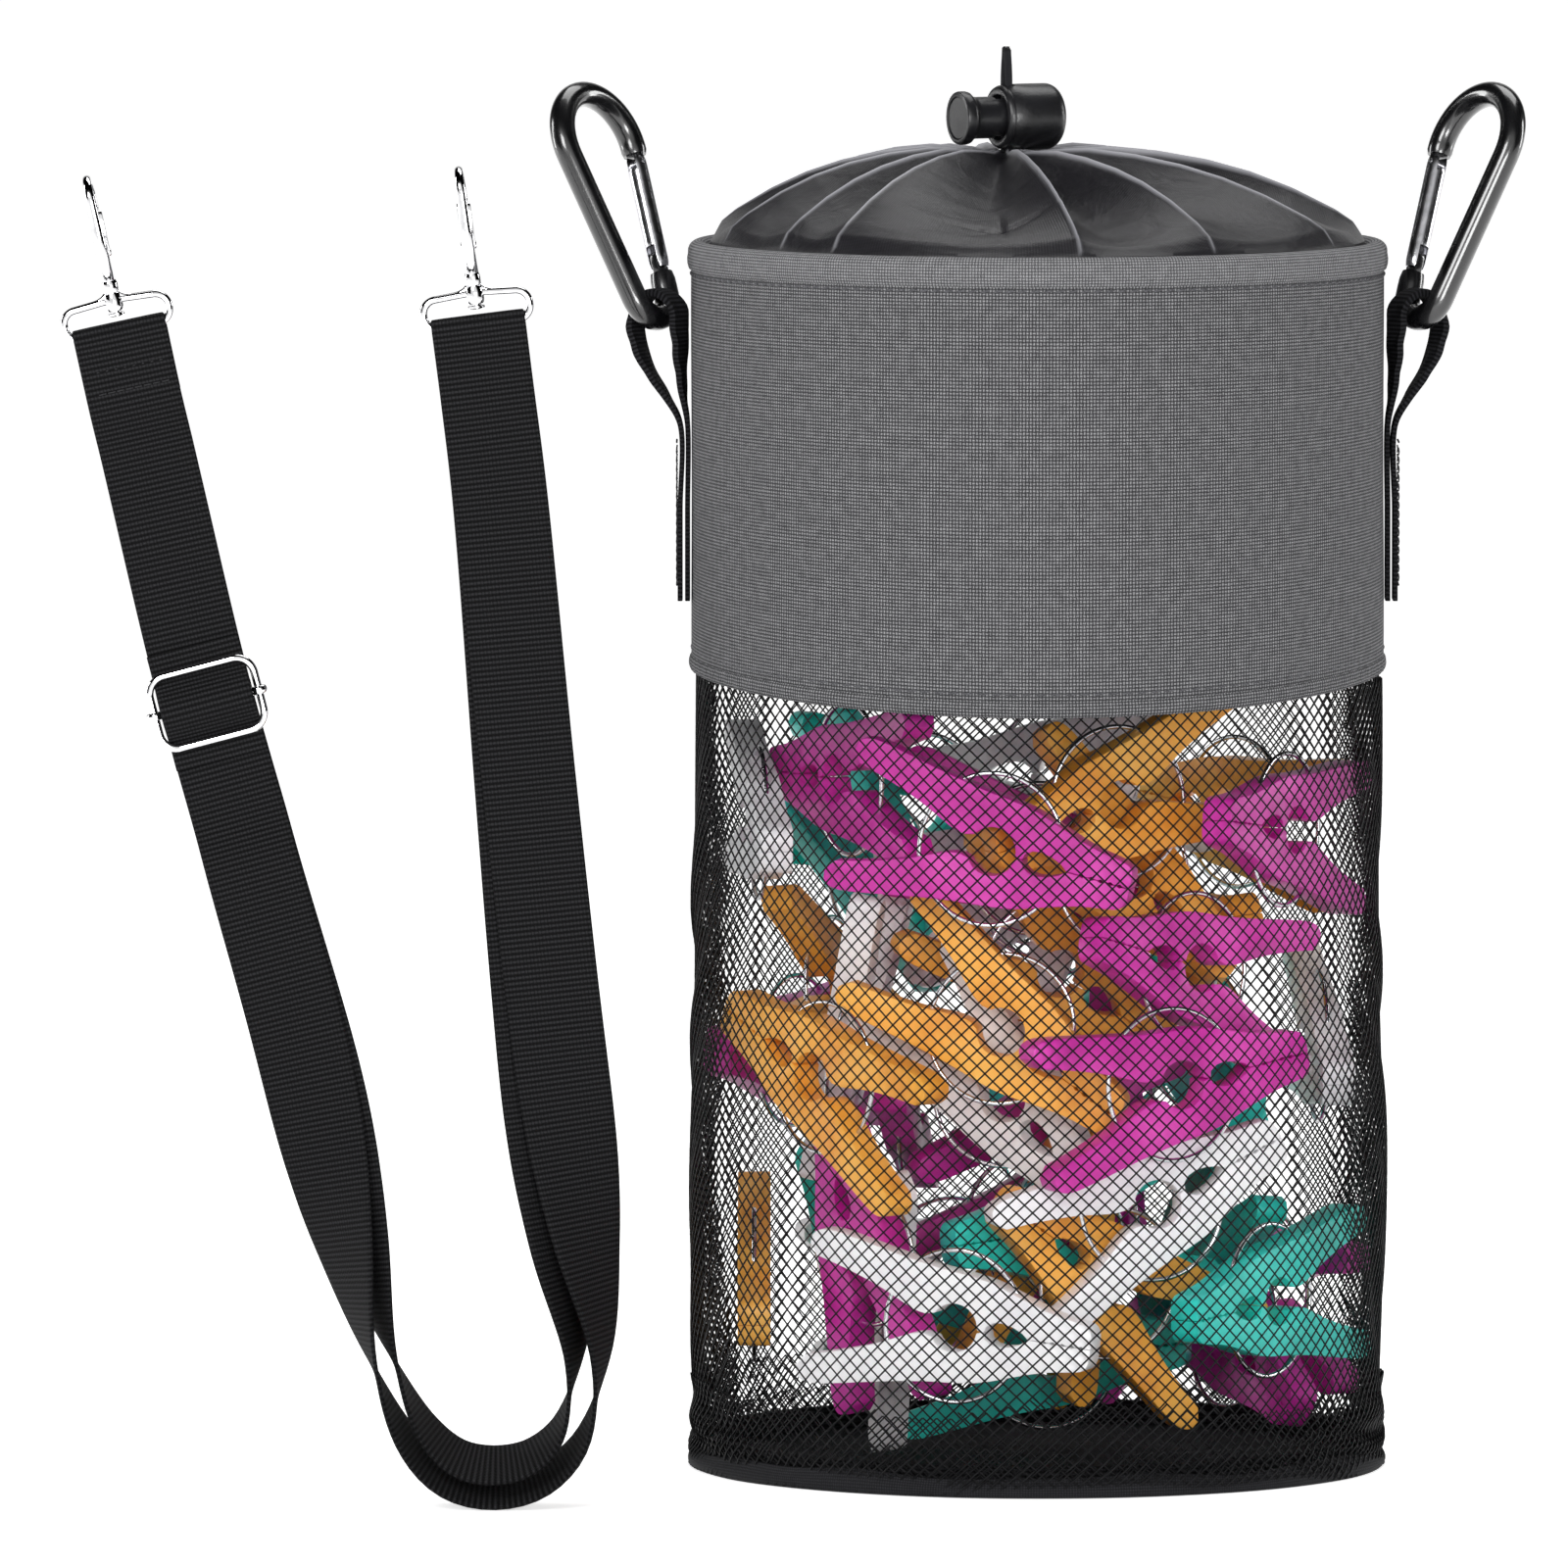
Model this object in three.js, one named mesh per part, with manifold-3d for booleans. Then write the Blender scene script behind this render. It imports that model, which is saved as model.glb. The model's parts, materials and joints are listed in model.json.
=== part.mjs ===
// Drawstring peg bag with a stiff woven collar, a net body full of clothes pegs, two side
// carabiners and a detachable webbing shoulder strap that stands beside the bag.
// Millimetres, +Z up. The origin is the centre of the underside of the base, +X is to the
// right and -Y is the front.
import * as THREE from 'three';
import { mergeVertices } from 'three/addons/utils/BufferGeometryUtils.js';
import Module from 'manifold-3d';

const wasm = await Module();
wasm.setup();

// Gaps and overruns shared by all pieces
const clearance = 0.3;
const cutOverrun = 1;
const weldDistance = 0.0001;

// Bag: collar, net and base
const bagRadius = 88.5;
const rimHeight = 314;
const collarHeight = 110;
const collarSkin = 1.1;
const stiffenerThickness = 2;
const liningThickness = 0.7;
const rimRollHeight = 7.5;
const rimProud = 0.8;
const hemHeight = 4.5;
const hemProud = 0.5;
const netThickness = 0.8;
const netSetback = 1;
const netBulge = 1.2;
const netWindows = 20;
const netWindowRows = 7;
const netLowerBand = 24;
const netUpperBand = 6;
const netBarWidth = 3;
const baseThickness = 1.8;
const seamTapeHeight = 6;
const seamTapeThickness = 1.4;
const roundSteps = 40;

// Gathered closure and its draw cord
const closureThickness = 0.8;
const closureSewnDepth = 14;
const closureDomeHeight = 23.5;
const throatHeightShare = 0.96;
const throatOffset = 8;
const pleatCount = 10;
const pleatDepth = 1.5;
const cordDiameter = 2;
const cordSpacing = 2.4;
const cordTail = 9.5;
const casingLoopRadius = 6.5;
const casingLoopDrop = 6;

// Cord lock
const lockDiameter = 17;
const lockLength = 17;
const lockTurn = THREE.MathUtils.degToRad(26);
const lockRound = 3.5;
const lockFloor = 2.5;
const lockMouthWall = 1.5;
const buttonDiameter = 10.8;
const buttonNeck = 8.3;
const buttonHeadDiameter = 13.7;
const buttonHeadLength = 3;
const buttonTravel = 3;
const buttonInnerWall = 2.6;
const lockSpringWire = 0.9;
const lockSpringTurns = 4;

// Side tabs, each a doubled webbing tail with a loop at its upper end
const tabWidth = 15;
const tabThickness = 3.2;
const tabBelowRim = 92;
const tabSewnLength = 45;
const loopPly = 1.3;
const crownWidth = 6;
const crownPly = 2.2;
const crownSlack = 1.9;

// Carabiners
const wireDiameter = 6.6;
const topBendRadius = 14;
const bottomBendRadius = 7;
const bendDistance = 40.4;
const wireBelowRim = 20;
const wireStandoff = 8.6;
const carabinerTurn = THREE.MathUtils.degToRad(54);
const carabinerLean = THREE.MathUtils.degToRad(23);
const gateDiameter = 5.2;
const gateSlot = 2.8;
const tongueThickness = 2.2;
const gatePinDiameter = 1.6;
const gateBore = 3;
const gateSpringWire = 0.6;
const gateSpringTurns = 4;

// Shoulder strap
const webbingWidth = 23;
const webbingThickness = 1.2;
const strapHang = 293;
const strapSpan = 90;
const strapStandoff = 53;
const strapForward = 105;
const layerPitch = 1.7;
const strapTwist = THREE.MathUtils.degToRad(108);
const twistReach = 145;
const innerLayerShift = 5;
const sewnTail = 17;
const sliderPlaceShare = 0.154;
const strapBottomShare = 0.5;

// Slider buckle
const sliderWire = 2.4;
const sliderHeight = 21;
const sliderCorner = 4;
const railGap = 0.8;
const knuckleWall = 0.6;

// Snap hooks
const ringWire = 2.2;
const ringCorner = 3;
const ringRise = 7.4;
const bossDiameter = 6.4;
const bossHeight = 4.6;
const postDiameter = 3;
const postHeadDiameter = 5;
const postHeadHeight = 1.2;
const postHole = 3.6;
const hookBaseDiameter = 7;
const hookBaseHeight = 3.6;
const hookPlate = 2.2;
const hookHeight = 28;
const hookWidth = 14;
const hookWire = 2.8;
const hookGateWall = 0.7;
const rivetDiameter = 1.5;
const leafThickness = 0.4;

// Clothes pegs, the loose contents
const pegLength = 77;
const pegThickness = 8.4;
const pegHandleSpread = 40;
const pegShoulder = 28;
const pegHoleRadius = 5.6;
const pegWindow = 15;

// Values that follow from the sizes above
const hemBottom = rimHeight - collarHeight;
const panelBottom = hemBottom + hemHeight + clearance;
const panelTop = rimHeight - rimRollHeight - clearance;
const stiffenerOuter = bagRadius - collarSkin - clearance;
const liningOuter = stiffenerOuter - stiffenerThickness - clearance;
const liningInner = liningOuter - liningThickness;
const netTopRadius = bagRadius - netSetback;
const cordRadius = cordDiameter / 2;
const wireRadius = wireDiameter / 2;
const wireHeight = rimHeight - wireBelowRim;
const wireOut = bagRadius + wireStandoff;
const tabBottom = rimHeight - tabBelowRim;
const tabTop = tabBottom + tabSewnLength;
const lockRadius = lockDiameter / 2;
const ringRadius = ringWire / 2;

const looks = {
  collar: { color: 0x6b6b6d, roughness: 0.9, metalness: 0 },
  board: { color: 0x3a3a3c, roughness: 0.9, metalness: 0 },
  lining: { color: 0x2a2a2d, roughness: 0.8, metalness: 0 },
  net: { color: 0x151517, roughness: 0.7, metalness: 0 },
  satin: { color: 0x2b2a2f, roughness: 0.45, metalness: 0 },
  webbing: { color: 0x1d1d1f, roughness: 0.85, metalness: 0 },
  cord: { color: 0x18181a, roughness: 0.7, metalness: 0 },
  plastic: { color: 0x17171a, roughness: 0.35, metalness: 0 },
  blackMetal: { color: 0x101012, roughness: 0.2, metalness: 0.6 },
  silver: { color: 0xd8d8dc, roughness: 0.18, metalness: 1 },
  pegMagenta: { color: 0xc4259c, roughness: 0.45, metalness: 0 },
  pegTeal: { color: 0x1fb5a4, roughness: 0.45, metalness: 0 },
  pegOrange: { color: 0xeda63c, roughness: 0.45, metalness: 0 },
  pegWhite: { color: 0xf4f2f4, roughness: 0.45, metalness: 0 },
};

function piece(name, geometry, look) {
  const mesh = new THREE.Mesh(geometry, new THREE.MeshStandardMaterial(looks[look]));
  mesh.name = name;
  return mesh;
}

// Solids and cuts

function toSolid(geometry) {
  const bare = geometry.clone();
  bare.deleteAttribute('normal');
  bare.deleteAttribute('uv');
  const merged = mergeVertices(bare, weldDistance);
  const vertProperties = new Float32Array(merged.attributes.position.array);
  const triVerts = new Uint32Array(merged.index.array);
  return new wasm.Manifold(new wasm.Mesh({ numProp: 3, vertProperties, triVerts }));
}

function fromSolid(solid) {
  const mesh = solid.getMesh();
  const geometry = new THREE.BufferGeometry();
  geometry.setAttribute('position', new THREE.BufferAttribute(mesh.vertProperties, 3));
  geometry.setIndex(new THREE.BufferAttribute(mesh.triVerts, 1));
  geometry.computeVertexNormals();
  return geometry;
}

function cut(geometry, ...tools) {
  return fromSolid(tools.reduce((solid, tool) => solid.subtract(toSolid(tool)), toSolid(geometry)));
}

function join(...geometries) {
  const [first, ...others] = geometries;
  return fromSolid(others.reduce((solid, other) => solid.add(toSolid(other)), toSolid(first)));
}

// Turns the triangles over if they face inwards, which the sign of the volume tells
function facingOut(geometry) {
  const corners = geometry.index.array;
  const [a, b, c] = [new THREE.Vector3(), new THREE.Vector3(), new THREE.Vector3()];
  const places = geometry.attributes.position;
  let volume = 0;
  for (let i = 0; i < corners.length; i += 3) {
    [a, b, c].forEach((corner, k) => corner.fromBufferAttribute(places, corners[i + k]));
    volume += a.dot(b.cross(c));
  }
  if (volume < 0) {
    for (let i = 0; i < corners.length; i += 3) {
      [corners[i], corners[i + 1]] = [corners[i + 1], corners[i]];
    }
  }
  geometry.computeVertexNormals();
  return geometry;
}

// The same geometry seen in a mirror across its own YZ plane
function mirrored(geometry) {
  const flipped = geometry.index ? geometry.clone() : mergeVertices(geometry);
  return facingOut(flipped.scale(-1, 1, 1));
}

function handed(geometry, side) {
  return side < 0 ? geometry : mirrored(geometry);
}

// A solid of revolution about Z from [radius, height] points that close on themselves
function ring(points, steps = roundSteps) {
  const loop = [...points, points[0]].map(([r, z]) => new THREE.Vector2(r, z));
  return new THREE.LatheGeometry(loop, steps).rotateX(Math.PI / 2);
}

function tubeShell(inner, outer, bottom, top) {
  return ring([[inner, bottom], [outer, bottom], [outer, top], [inner, top]]);
}

function rod(radius, length, sides = 12) {
  return new THREE.CylinderGeometry(radius, radius, length, sides);
}

// A closed skin over rings of points; open strings of rings get a flat cap at each end. Side j
// between rings i and i + 1 is split along its other diagonal where turned(i, j) says so.
function skin(rings, closed = false, turned = () => false) {
  const sides = rings[0].length;
  const position = rings.flat().flatMap((p) => [p.x, p.y, p.z]);
  const index = [];
  const spans = closed ? rings.length : rings.length - 1;
  for (let i = 0; i < spans; i += 1) {
    const next = (i + 1) % rings.length;
    for (let j = 0; j < sides; j += 1) {
      const k = (j + 1) % sides;
      const corners = [i * sides + j, i * sides + k, next * sides + k, next * sides + j];
      const [a, b, c, d] = turned(i, j) ? [...corners.slice(1), corners[0]] : corners;
      index.push(a, b, c, a, c, d);
    }
  }
  if (!closed) {
    const last = (rings.length - 1) * sides;
    for (let j = 1; j < sides - 1; j += 1) {
      index.push(0, j + 1, j);
      index.push(last, last + j, last + j + 1);
    }
  }
  const geometry = new THREE.BufferGeometry();
  geometry.setAttribute('position', new THREE.Float32BufferAttribute(position, 3));
  geometry.setIndex(index);
  return facingOut(geometry);
}

// A round wire along points, kept free of twist by carrying one side vector along it
function wire(points, radius, sides = 8, closed = false) {
  const count = points.length;
  const rings = [];
  let side = null;
  for (let i = 0; i < count; i += 1) {
    const before = points[closed ? (i + count - 1) % count : Math.max(i - 1, 0)];
    const after = points[closed ? (i + 1) % count : Math.min(i + 1, count - 1)];
    const along = after.clone().sub(before).normalize();
    if (!side) {
      side = Math.abs(along.z) < 0.9 ? new THREE.Vector3(0, 0, 1) : new THREE.Vector3(1, 0, 0);
    }
    side = side.clone().addScaledVector(along, -side.dot(along)).normalize();
    const other = along.clone().cross(side);
    rings.push(Array.from({ length: sides }, (_, j) => {
      const angle = (2 * Math.PI * j) / sides;
      return points[i].clone()
        .addScaledVector(side, radius * Math.cos(angle))
        .addScaledVector(other, radius * Math.sin(angle));
    }));
  }
  return skin(rings, closed);
}

// A plate whose outline lies in XZ, centred on y = 0
function plate(outline, thickness, holes = []) {
  const shape = new THREE.Shape(outline.map(([x, z]) => new THREE.Vector2(x, z)));
  holes.forEach((hole) => {
    shape.holes.push(new THREE.Path(hole.map(([x, z]) => new THREE.Vector2(x, z))));
  });
  const geometry = new THREE.ExtrudeGeometry(shape, { depth: thickness, bevelEnabled: false });
  return geometry.rotateX(Math.PI / 2).translate(0, thickness / 2, 0);
}

function arcPoints(centreX, centreZ, radius, from, to, steps) {
  return Array.from({ length: steps + 1 }, (_, i) => {
    const angle = from + ((to - from) * i) / steps;
    return [centreX + radius * Math.cos(angle), centreZ + radius * Math.sin(angle)];
  });
}

function coil(radius, wireWidth, turns, length) {
  const rise = length - wireWidth;
  const steps = turns * 8;
  const points = Array.from({ length: steps + 1 }, (_, i) => {
    const angle = (2 * Math.PI * i) / 8;
    const along = wireWidth / 2 + (rise * i) / steps;
    return new THREE.Vector3(along, radius * Math.cos(angle), radius * Math.sin(angle));
  });
  return wire(points, wireWidth / 2, 5);
}

// Collar

function collar() {
  const group = new THREE.Group();
  const outerInner = bagRadius - collarSkin;
  const stiffenerInner = stiffenerOuter - stiffenerThickness;
  group.add(
    piece('collar_outer_panel', tubeShell(outerInner, bagRadius, panelBottom, panelTop), 'collar'),
    piece('collar_stiffener', tubeShell(stiffenerInner, stiffenerOuter, panelBottom, panelTop), 'board'),
    piece('collar_lining', tubeShell(liningInner, liningOuter, panelBottom, panelTop), 'lining'),
    rimPiping(),
    piece(
      'collar_hem_binding',
      tubeShell(liningInner, bagRadius + hemProud, hemBottom, hemBottom + hemHeight),
      'collar',
    ),
  );
  return group;
}

// The collar cloth rolled over the top edge: straight sides under a half-round top
function rimPiping() {
  const outer = bagRadius + rimProud;
  const half = (outer - liningInner) / 2;
  const middle = liningInner + half;
  const springing = rimHeight - half;
  const crown = arcPoints(middle, springing, half, 0, Math.PI, 5);
  const bottom = rimHeight - rimRollHeight;
  return piece('rim_piping', ring([[liningInner, bottom], [outer, bottom], ...crown]), 'collar');
}

// Net body and base

function netRadius(share) {
  return netTopRadius + netBulge * Math.sin(Math.PI * Math.min(1, share * 1.5)) ** 2;
}

// Boxes that each cut a window at both sides of the net, in rows between its two bands
function netWindowCutters(top) {
  const pitch = (2 * Math.PI * netTopRadius) / netWindows;
  const rowHeight = (top - netLowerBand - netUpperBand) / netWindowRows;
  const reach = 2 * (netTopRadius + netBulge + cutOverrun);
  const cutters = [];
  for (let row = 0; row < netWindowRows; row += 1) {
    for (let i = 0; i < netWindows / 2; i += 1) {
      const box = new THREE.BoxGeometry(pitch - netBarWidth, reach, rowHeight - netBarWidth);
      box.translate(0, 0, netLowerBand + rowHeight * (row + 0.5));
      cutters.push(box.rotateZ((2 * Math.PI * (i + 0.5)) / netWindows));
    }
  }
  return cutters;
}

function netBody() {
  const top = hemBottom - clearance;
  const shares = [0, 0.12, 0.34, 0.56, 1];
  const outside = shares.map((share) => [netRadius(share), top * share]);
  const inside = shares.map((share) => [netRadius(share) - netThickness, top * share]).reverse();
  const shell = ring([...outside, ...inside]);
  return piece('mesh_body', cut(shell, ...netWindowCutters(top)), 'net');
}

function base() {
  const group = new THREE.Group();
  const radius = netRadius(0) - netThickness - clearance;
  const disc = rod(radius, baseThickness, roundSteps).rotateX(Math.PI / 2);
  disc.translate(0, 0, baseThickness / 2);
  const tapeBottom = baseThickness + clearance;
  group.add(
    piece('base_panel', disc, 'net'),
    piece(
      'base_seam_tape',
      tubeShell(radius - seamTapeThickness, radius, tapeBottom, tapeBottom + seamTapeHeight),
      'webbing',
    ),
  );
  return group;
}

// Closure: a skirt sewn inside the collar and drawn in to a throat, in shares of the skirt's
// radius and of the dome's height

const domeShares = [[1, 0], [0.92, 0.2], [0.8, 0.46], [0.6, 0.8], [0.3, 1], [0.15, throatHeightShare],
  [0.045, 0.9]];

function closureRings() {
  const outer = liningInner - clearance;
  const sewnBottom = rimHeight - closureSewnDepth;
  const outline = [[outer, sewnBottom, 0]];
  domeShares.forEach(([radiusShare, heightShare]) => {
    const drawn = 1 - radiusShare;
    outline.push([outer * radiusShare, rimHeight + closureDomeHeight * heightShare, drawn]);
  });
  const under = outline.map(([r, z, drawn], i) => {
    const [r0, z0] = outline[Math.max(i - 1, 0)];
    const [r1, z1] = outline[Math.min(i + 1, outline.length - 1)];
    const length = Math.hypot(r1 - r0, z1 - z0);
    const outward = [(z1 - z0) / length, (r0 - r1) / length];
    return [r - closureThickness * outward[0], z - closureThickness * outward[1], drawn];
  });
  const loop = [...outline, ...under.reverse()];
  return Array.from({ length: roundSteps }, (_, j) => {
    const angle = (2 * Math.PI * j) / roundSteps;
    return loop.map(([r, z, drawn]) => {
      const fold = pleatDepth * Math.sin(Math.PI * drawn) * Math.sin(pleatCount * angle);
      return new THREE.Vector3(
        r * Math.cos(angle) - throatOffset * drawn,
        r * Math.sin(angle),
        z + fold,
      );
    });
  });
}

function closure() {
  return piece('closure_skirt', skin(closureRings(), true), 'satin');
}

// The cord lock sits on the throat with its button end turned towards the front left

const throatHeight = rimHeight + closureDomeHeight * throatHeightShare;
const lockAxisHeight = throatHeight + lockRadius + clearance;
const lockReach = lockLength / 2;
const cordHoleHalf = cordRadius + clearance;
const cordPlace = lockReach - lockMouthWall - cordHoleHalf;
const buttonRadius = buttonDiameter / 2;
const boreRadius = buttonRadius + clearance;

// The two strands side by side through the lock's hole, in the cord lock's own frame
function cordHole(from, to) {
  const width = cordSpacing + cordDiameter + 2 * clearance;
  const hole = new THREE.BoxGeometry(to - from, width, 2 * lockDiameter);
  return hole.translate((from + to) / 2, 0, 0);
}

function lockBarrel() {
  const corner = lockReach - lockRound;
  const rounded = arcPoints(lockRadius - lockRound, corner, lockRound, 0, Math.PI / 2, 4);
  const outline = [
    [boreRadius, -lockReach],
    [lockRadius - lockRound / 3, -lockReach],
    [lockRadius, -lockReach + lockRound / 3],
    ...rounded,
    [0, lockReach],
    [0, lockReach - lockFloor],
    [boreRadius, lockReach - lockFloor],
  ];
  const barrel = ring(outline, 24).rotateY(-Math.PI / 2);
  return cut(barrel, cordHole(cordPlace - cordHoleHalf, cordPlace + cordHoleHalf));
}

function lockButton() {
  const inner = cordPlace - cordHoleHalf - buttonInnerWall;
  const neckEnd = lockReach + buttonNeck;
  const headEnd = neckEnd + buttonHeadLength;
  const headRadius = buttonHeadDiameter / 2;
  const bevel = buttonHeadLength / 4;
  const outline = [
    [0, -headEnd],
    [headRadius - bevel, -headEnd],
    [headRadius, -headEnd + bevel],
    [headRadius, -neckEnd],
    [buttonRadius, -neckEnd],
    [buttonRadius, -inner],
    [0, -inner],
  ];
  const button = ring(outline, 20).rotateY(-Math.PI / 2);
  return cut(button, cordHole(cordPlace - cordHoleHalf, cordPlace + cordHoleHalf + buttonTravel));
}

function cordLock() {
  const group = new THREE.Group();
  const springFrom = -lockReach + lockFloor + clearance;
  const springTo = cordPlace - cordHoleHalf - buttonInnerWall - clearance;
  const springRadius = boreRadius - clearance - lockSpringWire;
  const spring = coil(springRadius, lockSpringWire, lockSpringTurns, springTo - springFrom);
  group.add(
    piece('cord_lock_barrel', lockBarrel(), 'plastic'),
    piece('cord_lock_button', lockButton(), 'plastic'),
    piece('cord_lock_spring', spring.translate(springFrom, 0, 0), 'silver'),
  );
  const turn = Math.PI + lockTurn;
  group.rotation.z = turn;
  group.position.set(
    -throatOffset - cordPlace * Math.cos(turn),
    -cordPlace * Math.sin(turn),
    lockAxisHeight,
  );
  return group;
}

// One length of elastic cord: tail, down through the lock, round the casing and up again
function drawcord() {
  const tip = lockAxisHeight + lockRadius + cordTail;
  const bottom = throatHeight - casingLoopDrop;
  const half = cordSpacing / 2;
  const upper = [tip, lockAxisHeight, throatHeight, throatHeight - cordRadius];
  const loopAngles = Array.from({ length: 11 }, (_, i) => Math.PI / 6 + (Math.PI / 6) * i);
  const loop = loopAngles.map((angle) => new THREE.Vector3(
    casingLoopRadius * Math.cos(angle),
    casingLoopRadius * Math.sin(angle),
    bottom,
  ));
  const route = new THREE.CatmullRomCurve3([
    ...upper.map((z) => new THREE.Vector3(0, half, z)),
    ...loop,
    ...upper.reverse().map((z) => new THREE.Vector3(0, -half, z)),
  ], false, 'centripetal');
  const cord = piece('drawcord', wire(route.getSpacedPoints(44), cordRadius, 6), 'cord');
  cord.rotation.z = Math.PI + lockTurn;
  cord.position.x = -throatOffset;
  return cord;
}

// A flat strip of webbing along stations {along, off, ply, width}: along and off are its side
// view, and place(along, off, across) puts a point of it in space. All its flat sides are split
// along diagonals that lean the same way, so that plies which twist together stay parallel.
function strip(stations, place) {
  const rings = stations.map((station, i) => {
    const before = stations[Math.max(i - 1, 0)];
    const after = stations[Math.min(i + 1, stations.length - 1)];
    const run = [after.along - before.along, after.off - before.off];
    const length = Math.hypot(...run);
    const lift = [(-run[1] / length) * (station.ply / 2), (run[0] / length) * (station.ply / 2)];
    return [[1, 1], [-1, 1], [-1, -1], [1, -1]].map(([up, across]) => place(
      station.along + lift[0] * up,
      station.off + lift[1] * up,
      (station.width / 2) * across,
      station,
    ));
  });
  const ascends = (i) => stations[i + 1].along > stations[i].along;
  return skin(rings, false, (i, j) => j === (ascends(i) ? 3 : 1));
}

// Side tab: a doubled webbing tail sewn flat to the collar. Above the seam it opens into a
// loop, narrows to a crown over the carabiner and turns with height to face it.

const crownReach = wireRadius + crownSlack + clearance + crownPly / 2;
const loopShares = [{ rise: 0.25, outer: -0.35, inner: 1 }, { rise: 0.5, outer: 0.3, inner: 0.93 },
  { rise: 0.8, outer: 0.85, inner: 0.95 }];

function tabStations() {
  const flat = { ply: loopPly, width: tabWidth };
  const innerOff = bagRadius + clearance + loopPly / 2;
  const outerOff = innerOff + tabThickness - loopPly;
  const rise = wireHeight - tabTop;
  const leg = (share, off) => ({
    along: tabTop + rise * share,
    off,
    ply: loopPly + (crownPly - loopPly) * share,
    width: tabWidth + (crownWidth - tabWidth) * share,
  });
  const crown = arcPoints(wireOut, wireHeight, crownReach, 0, Math.PI, 6);
  const sewn = [tabBottom, (tabBottom + tabTop) / 2, tabTop];
  return [
    ...sewn.map((along) => ({ along, off: outerOff, ...flat })),
    ...loopShares.map(({ rise: share, outer }) => leg(share, wireOut + crownReach * outer)),
    ...crown.map(([off, along]) => ({ along, off, ply: crownPly, width: crownWidth })),
    ...[...loopShares].reverse().map(({ rise: share, inner }) => (
      leg(share, Math.max(wireOut - crownReach * inner, innerOff + (crownPly - loopPly) * share))
    )),
    ...[...sewn].reverse().map((along) => ({ along, off: innerOff, ...flat })),
  ];
}

// Left tab; the axis of its turn passes through the carabiner's lower bend
function tabGeometry() {
  const fullTurn = Math.PI / 2 - carabinerTurn;
  return strip(tabStations(), (along, off, across) => {
    const share = THREE.MathUtils.clamp((along - tabTop) / (wireHeight - tabTop), 0, 1);
    const turn = -fullTurn * share ** 2;
    const out = wireOut - off;
    return new THREE.Vector3(
      -wireOut + out * Math.cos(turn) - across * Math.sin(turn),
      out * Math.sin(turn) + across * Math.cos(turn),
      along,
    );
  });
}

// Carabiner, in its own frame: X from spine to gate, Z along it, origin at the lower bend

const flare = Math.asin((topBendRadius - bottomBendRadius) / bendDistance);
const gateLine = bendDistance * Math.cos(flare);
const pinPlace = gateLine / 4;
const gateRadius = gateDiameter / 2;
const gatePinRadius = gatePinDiameter / 2;
const gateFoot = gateRadius - gatePinRadius / 4;
const wireEndGap = Math.hypot(gateRadius, gateFoot) + clearance;
const noseRun = wireRadius / 3;
const gateTop = gateLine - pinPlace - noseRun - clearance;
const gateSlotDepth = 2 * gatePinDiameter + clearance;

function carabinerBody() {
  const lower = [bottomBendRadius, bottomBendRadius];
  const upper = [topBendRadius, bottomBendRadius + bendDistance];
  const contact = lower[1] - lower[0] * Math.sin(flare);
  const wireEnd = pinPlace - wireEndGap;
  const onGateLine = (run) => [
    lower[0] * Math.cos(flare) + run * Math.sin(flare),
    contact + run * Math.cos(flare),
  ];
  const outline = [
    onGateLine(wireEnd),
    ...arcPoints(0, lower[1], lower[0], -flare, flare - Math.PI, 7),
    ...arcPoints(0, upper[1], upper[0], Math.PI + flare, -flare, 9),
    onGateLine(gateLine - noseRun),
  ];
  const points = outline.map(([x, z]) => new THREE.Vector3(x, 0, z));
  return wire(points, wireRadius, 8);
}

// Moves a shape from the gate's own frame, origin at the hinge pin, to the carabiner's
function alongGate(geometry) {
  geometry.rotateY(flare);
  return geometry.translate(
    bottomBendRadius * Math.cos(flare) + pinPlace * Math.sin(flare),
    0,
    bottomBendRadius * (1 - Math.sin(flare)) + pinPlace * Math.cos(flare),
  );
}

function block(x0, x1, thickness, z0, z1) {
  const box = new THREE.BoxGeometry(x1 - x0, thickness, z1 - z0);
  return box.translate((x0 + x1) / 2, 0, (z0 + z1) / 2);
}

function crossPin(radius, length, z = 0, x = 0) {
  return rod(radius, length, 10).translate(x, 0, z);
}

const latchPinPlace = [-gatePinRadius / 4, gateTop - gateSlotDepth + gatePinDiameter];

function carabinerFrame() {
  const half = gateRadius - clearance;
  const hinge = block(-half, half, tongueThickness, -wireEndGap - cutOverrun, gateFoot);
  const noseInner = latchPinPlace[0] + gatePinRadius + clearance;
  const nose = block(noseInner, half, tongueThickness, gateTop - gateSlotDepth + 2 * clearance,
    gateTop + clearance + cutOverrun);
  const hole = crossPin(gatePinRadius + clearance, wireDiameter);
  return cut(join(carabinerBody(), alongGate(hinge), alongGate(nose)), alongGate(hole));
}

function carabinerGate() {
  const length = gateTop + gateFoot;
  const bar = rod(gateRadius, length, 12).rotateX(Math.PI / 2);
  bar.translate(0, 0, length / 2 - gateFoot);
  const half = gateRadius + cutOverrun;
  const bore = rod(gateBore / 2, gateLine / 3, 10).rotateX(Math.PI / 2);
  bore.translate(0, 0, gateSlotDepth + gateLine / 6 - cutOverrun);
  const gate = cut(
    bar,
    block(-half, half, gateSlot, -gateFoot - cutOverrun, gateSlotDepth),
    block(-half, half, gateSlot, gateTop - gateSlotDepth, gateTop + cutOverrun),
    crossPin(gatePinRadius + clearance, wireDiameter),
    crossPin(gatePinRadius + clearance, wireDiameter, latchPinPlace[1], latchPinPlace[0]),
    bore,
  );
  return alongGate(gate);
}

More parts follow.
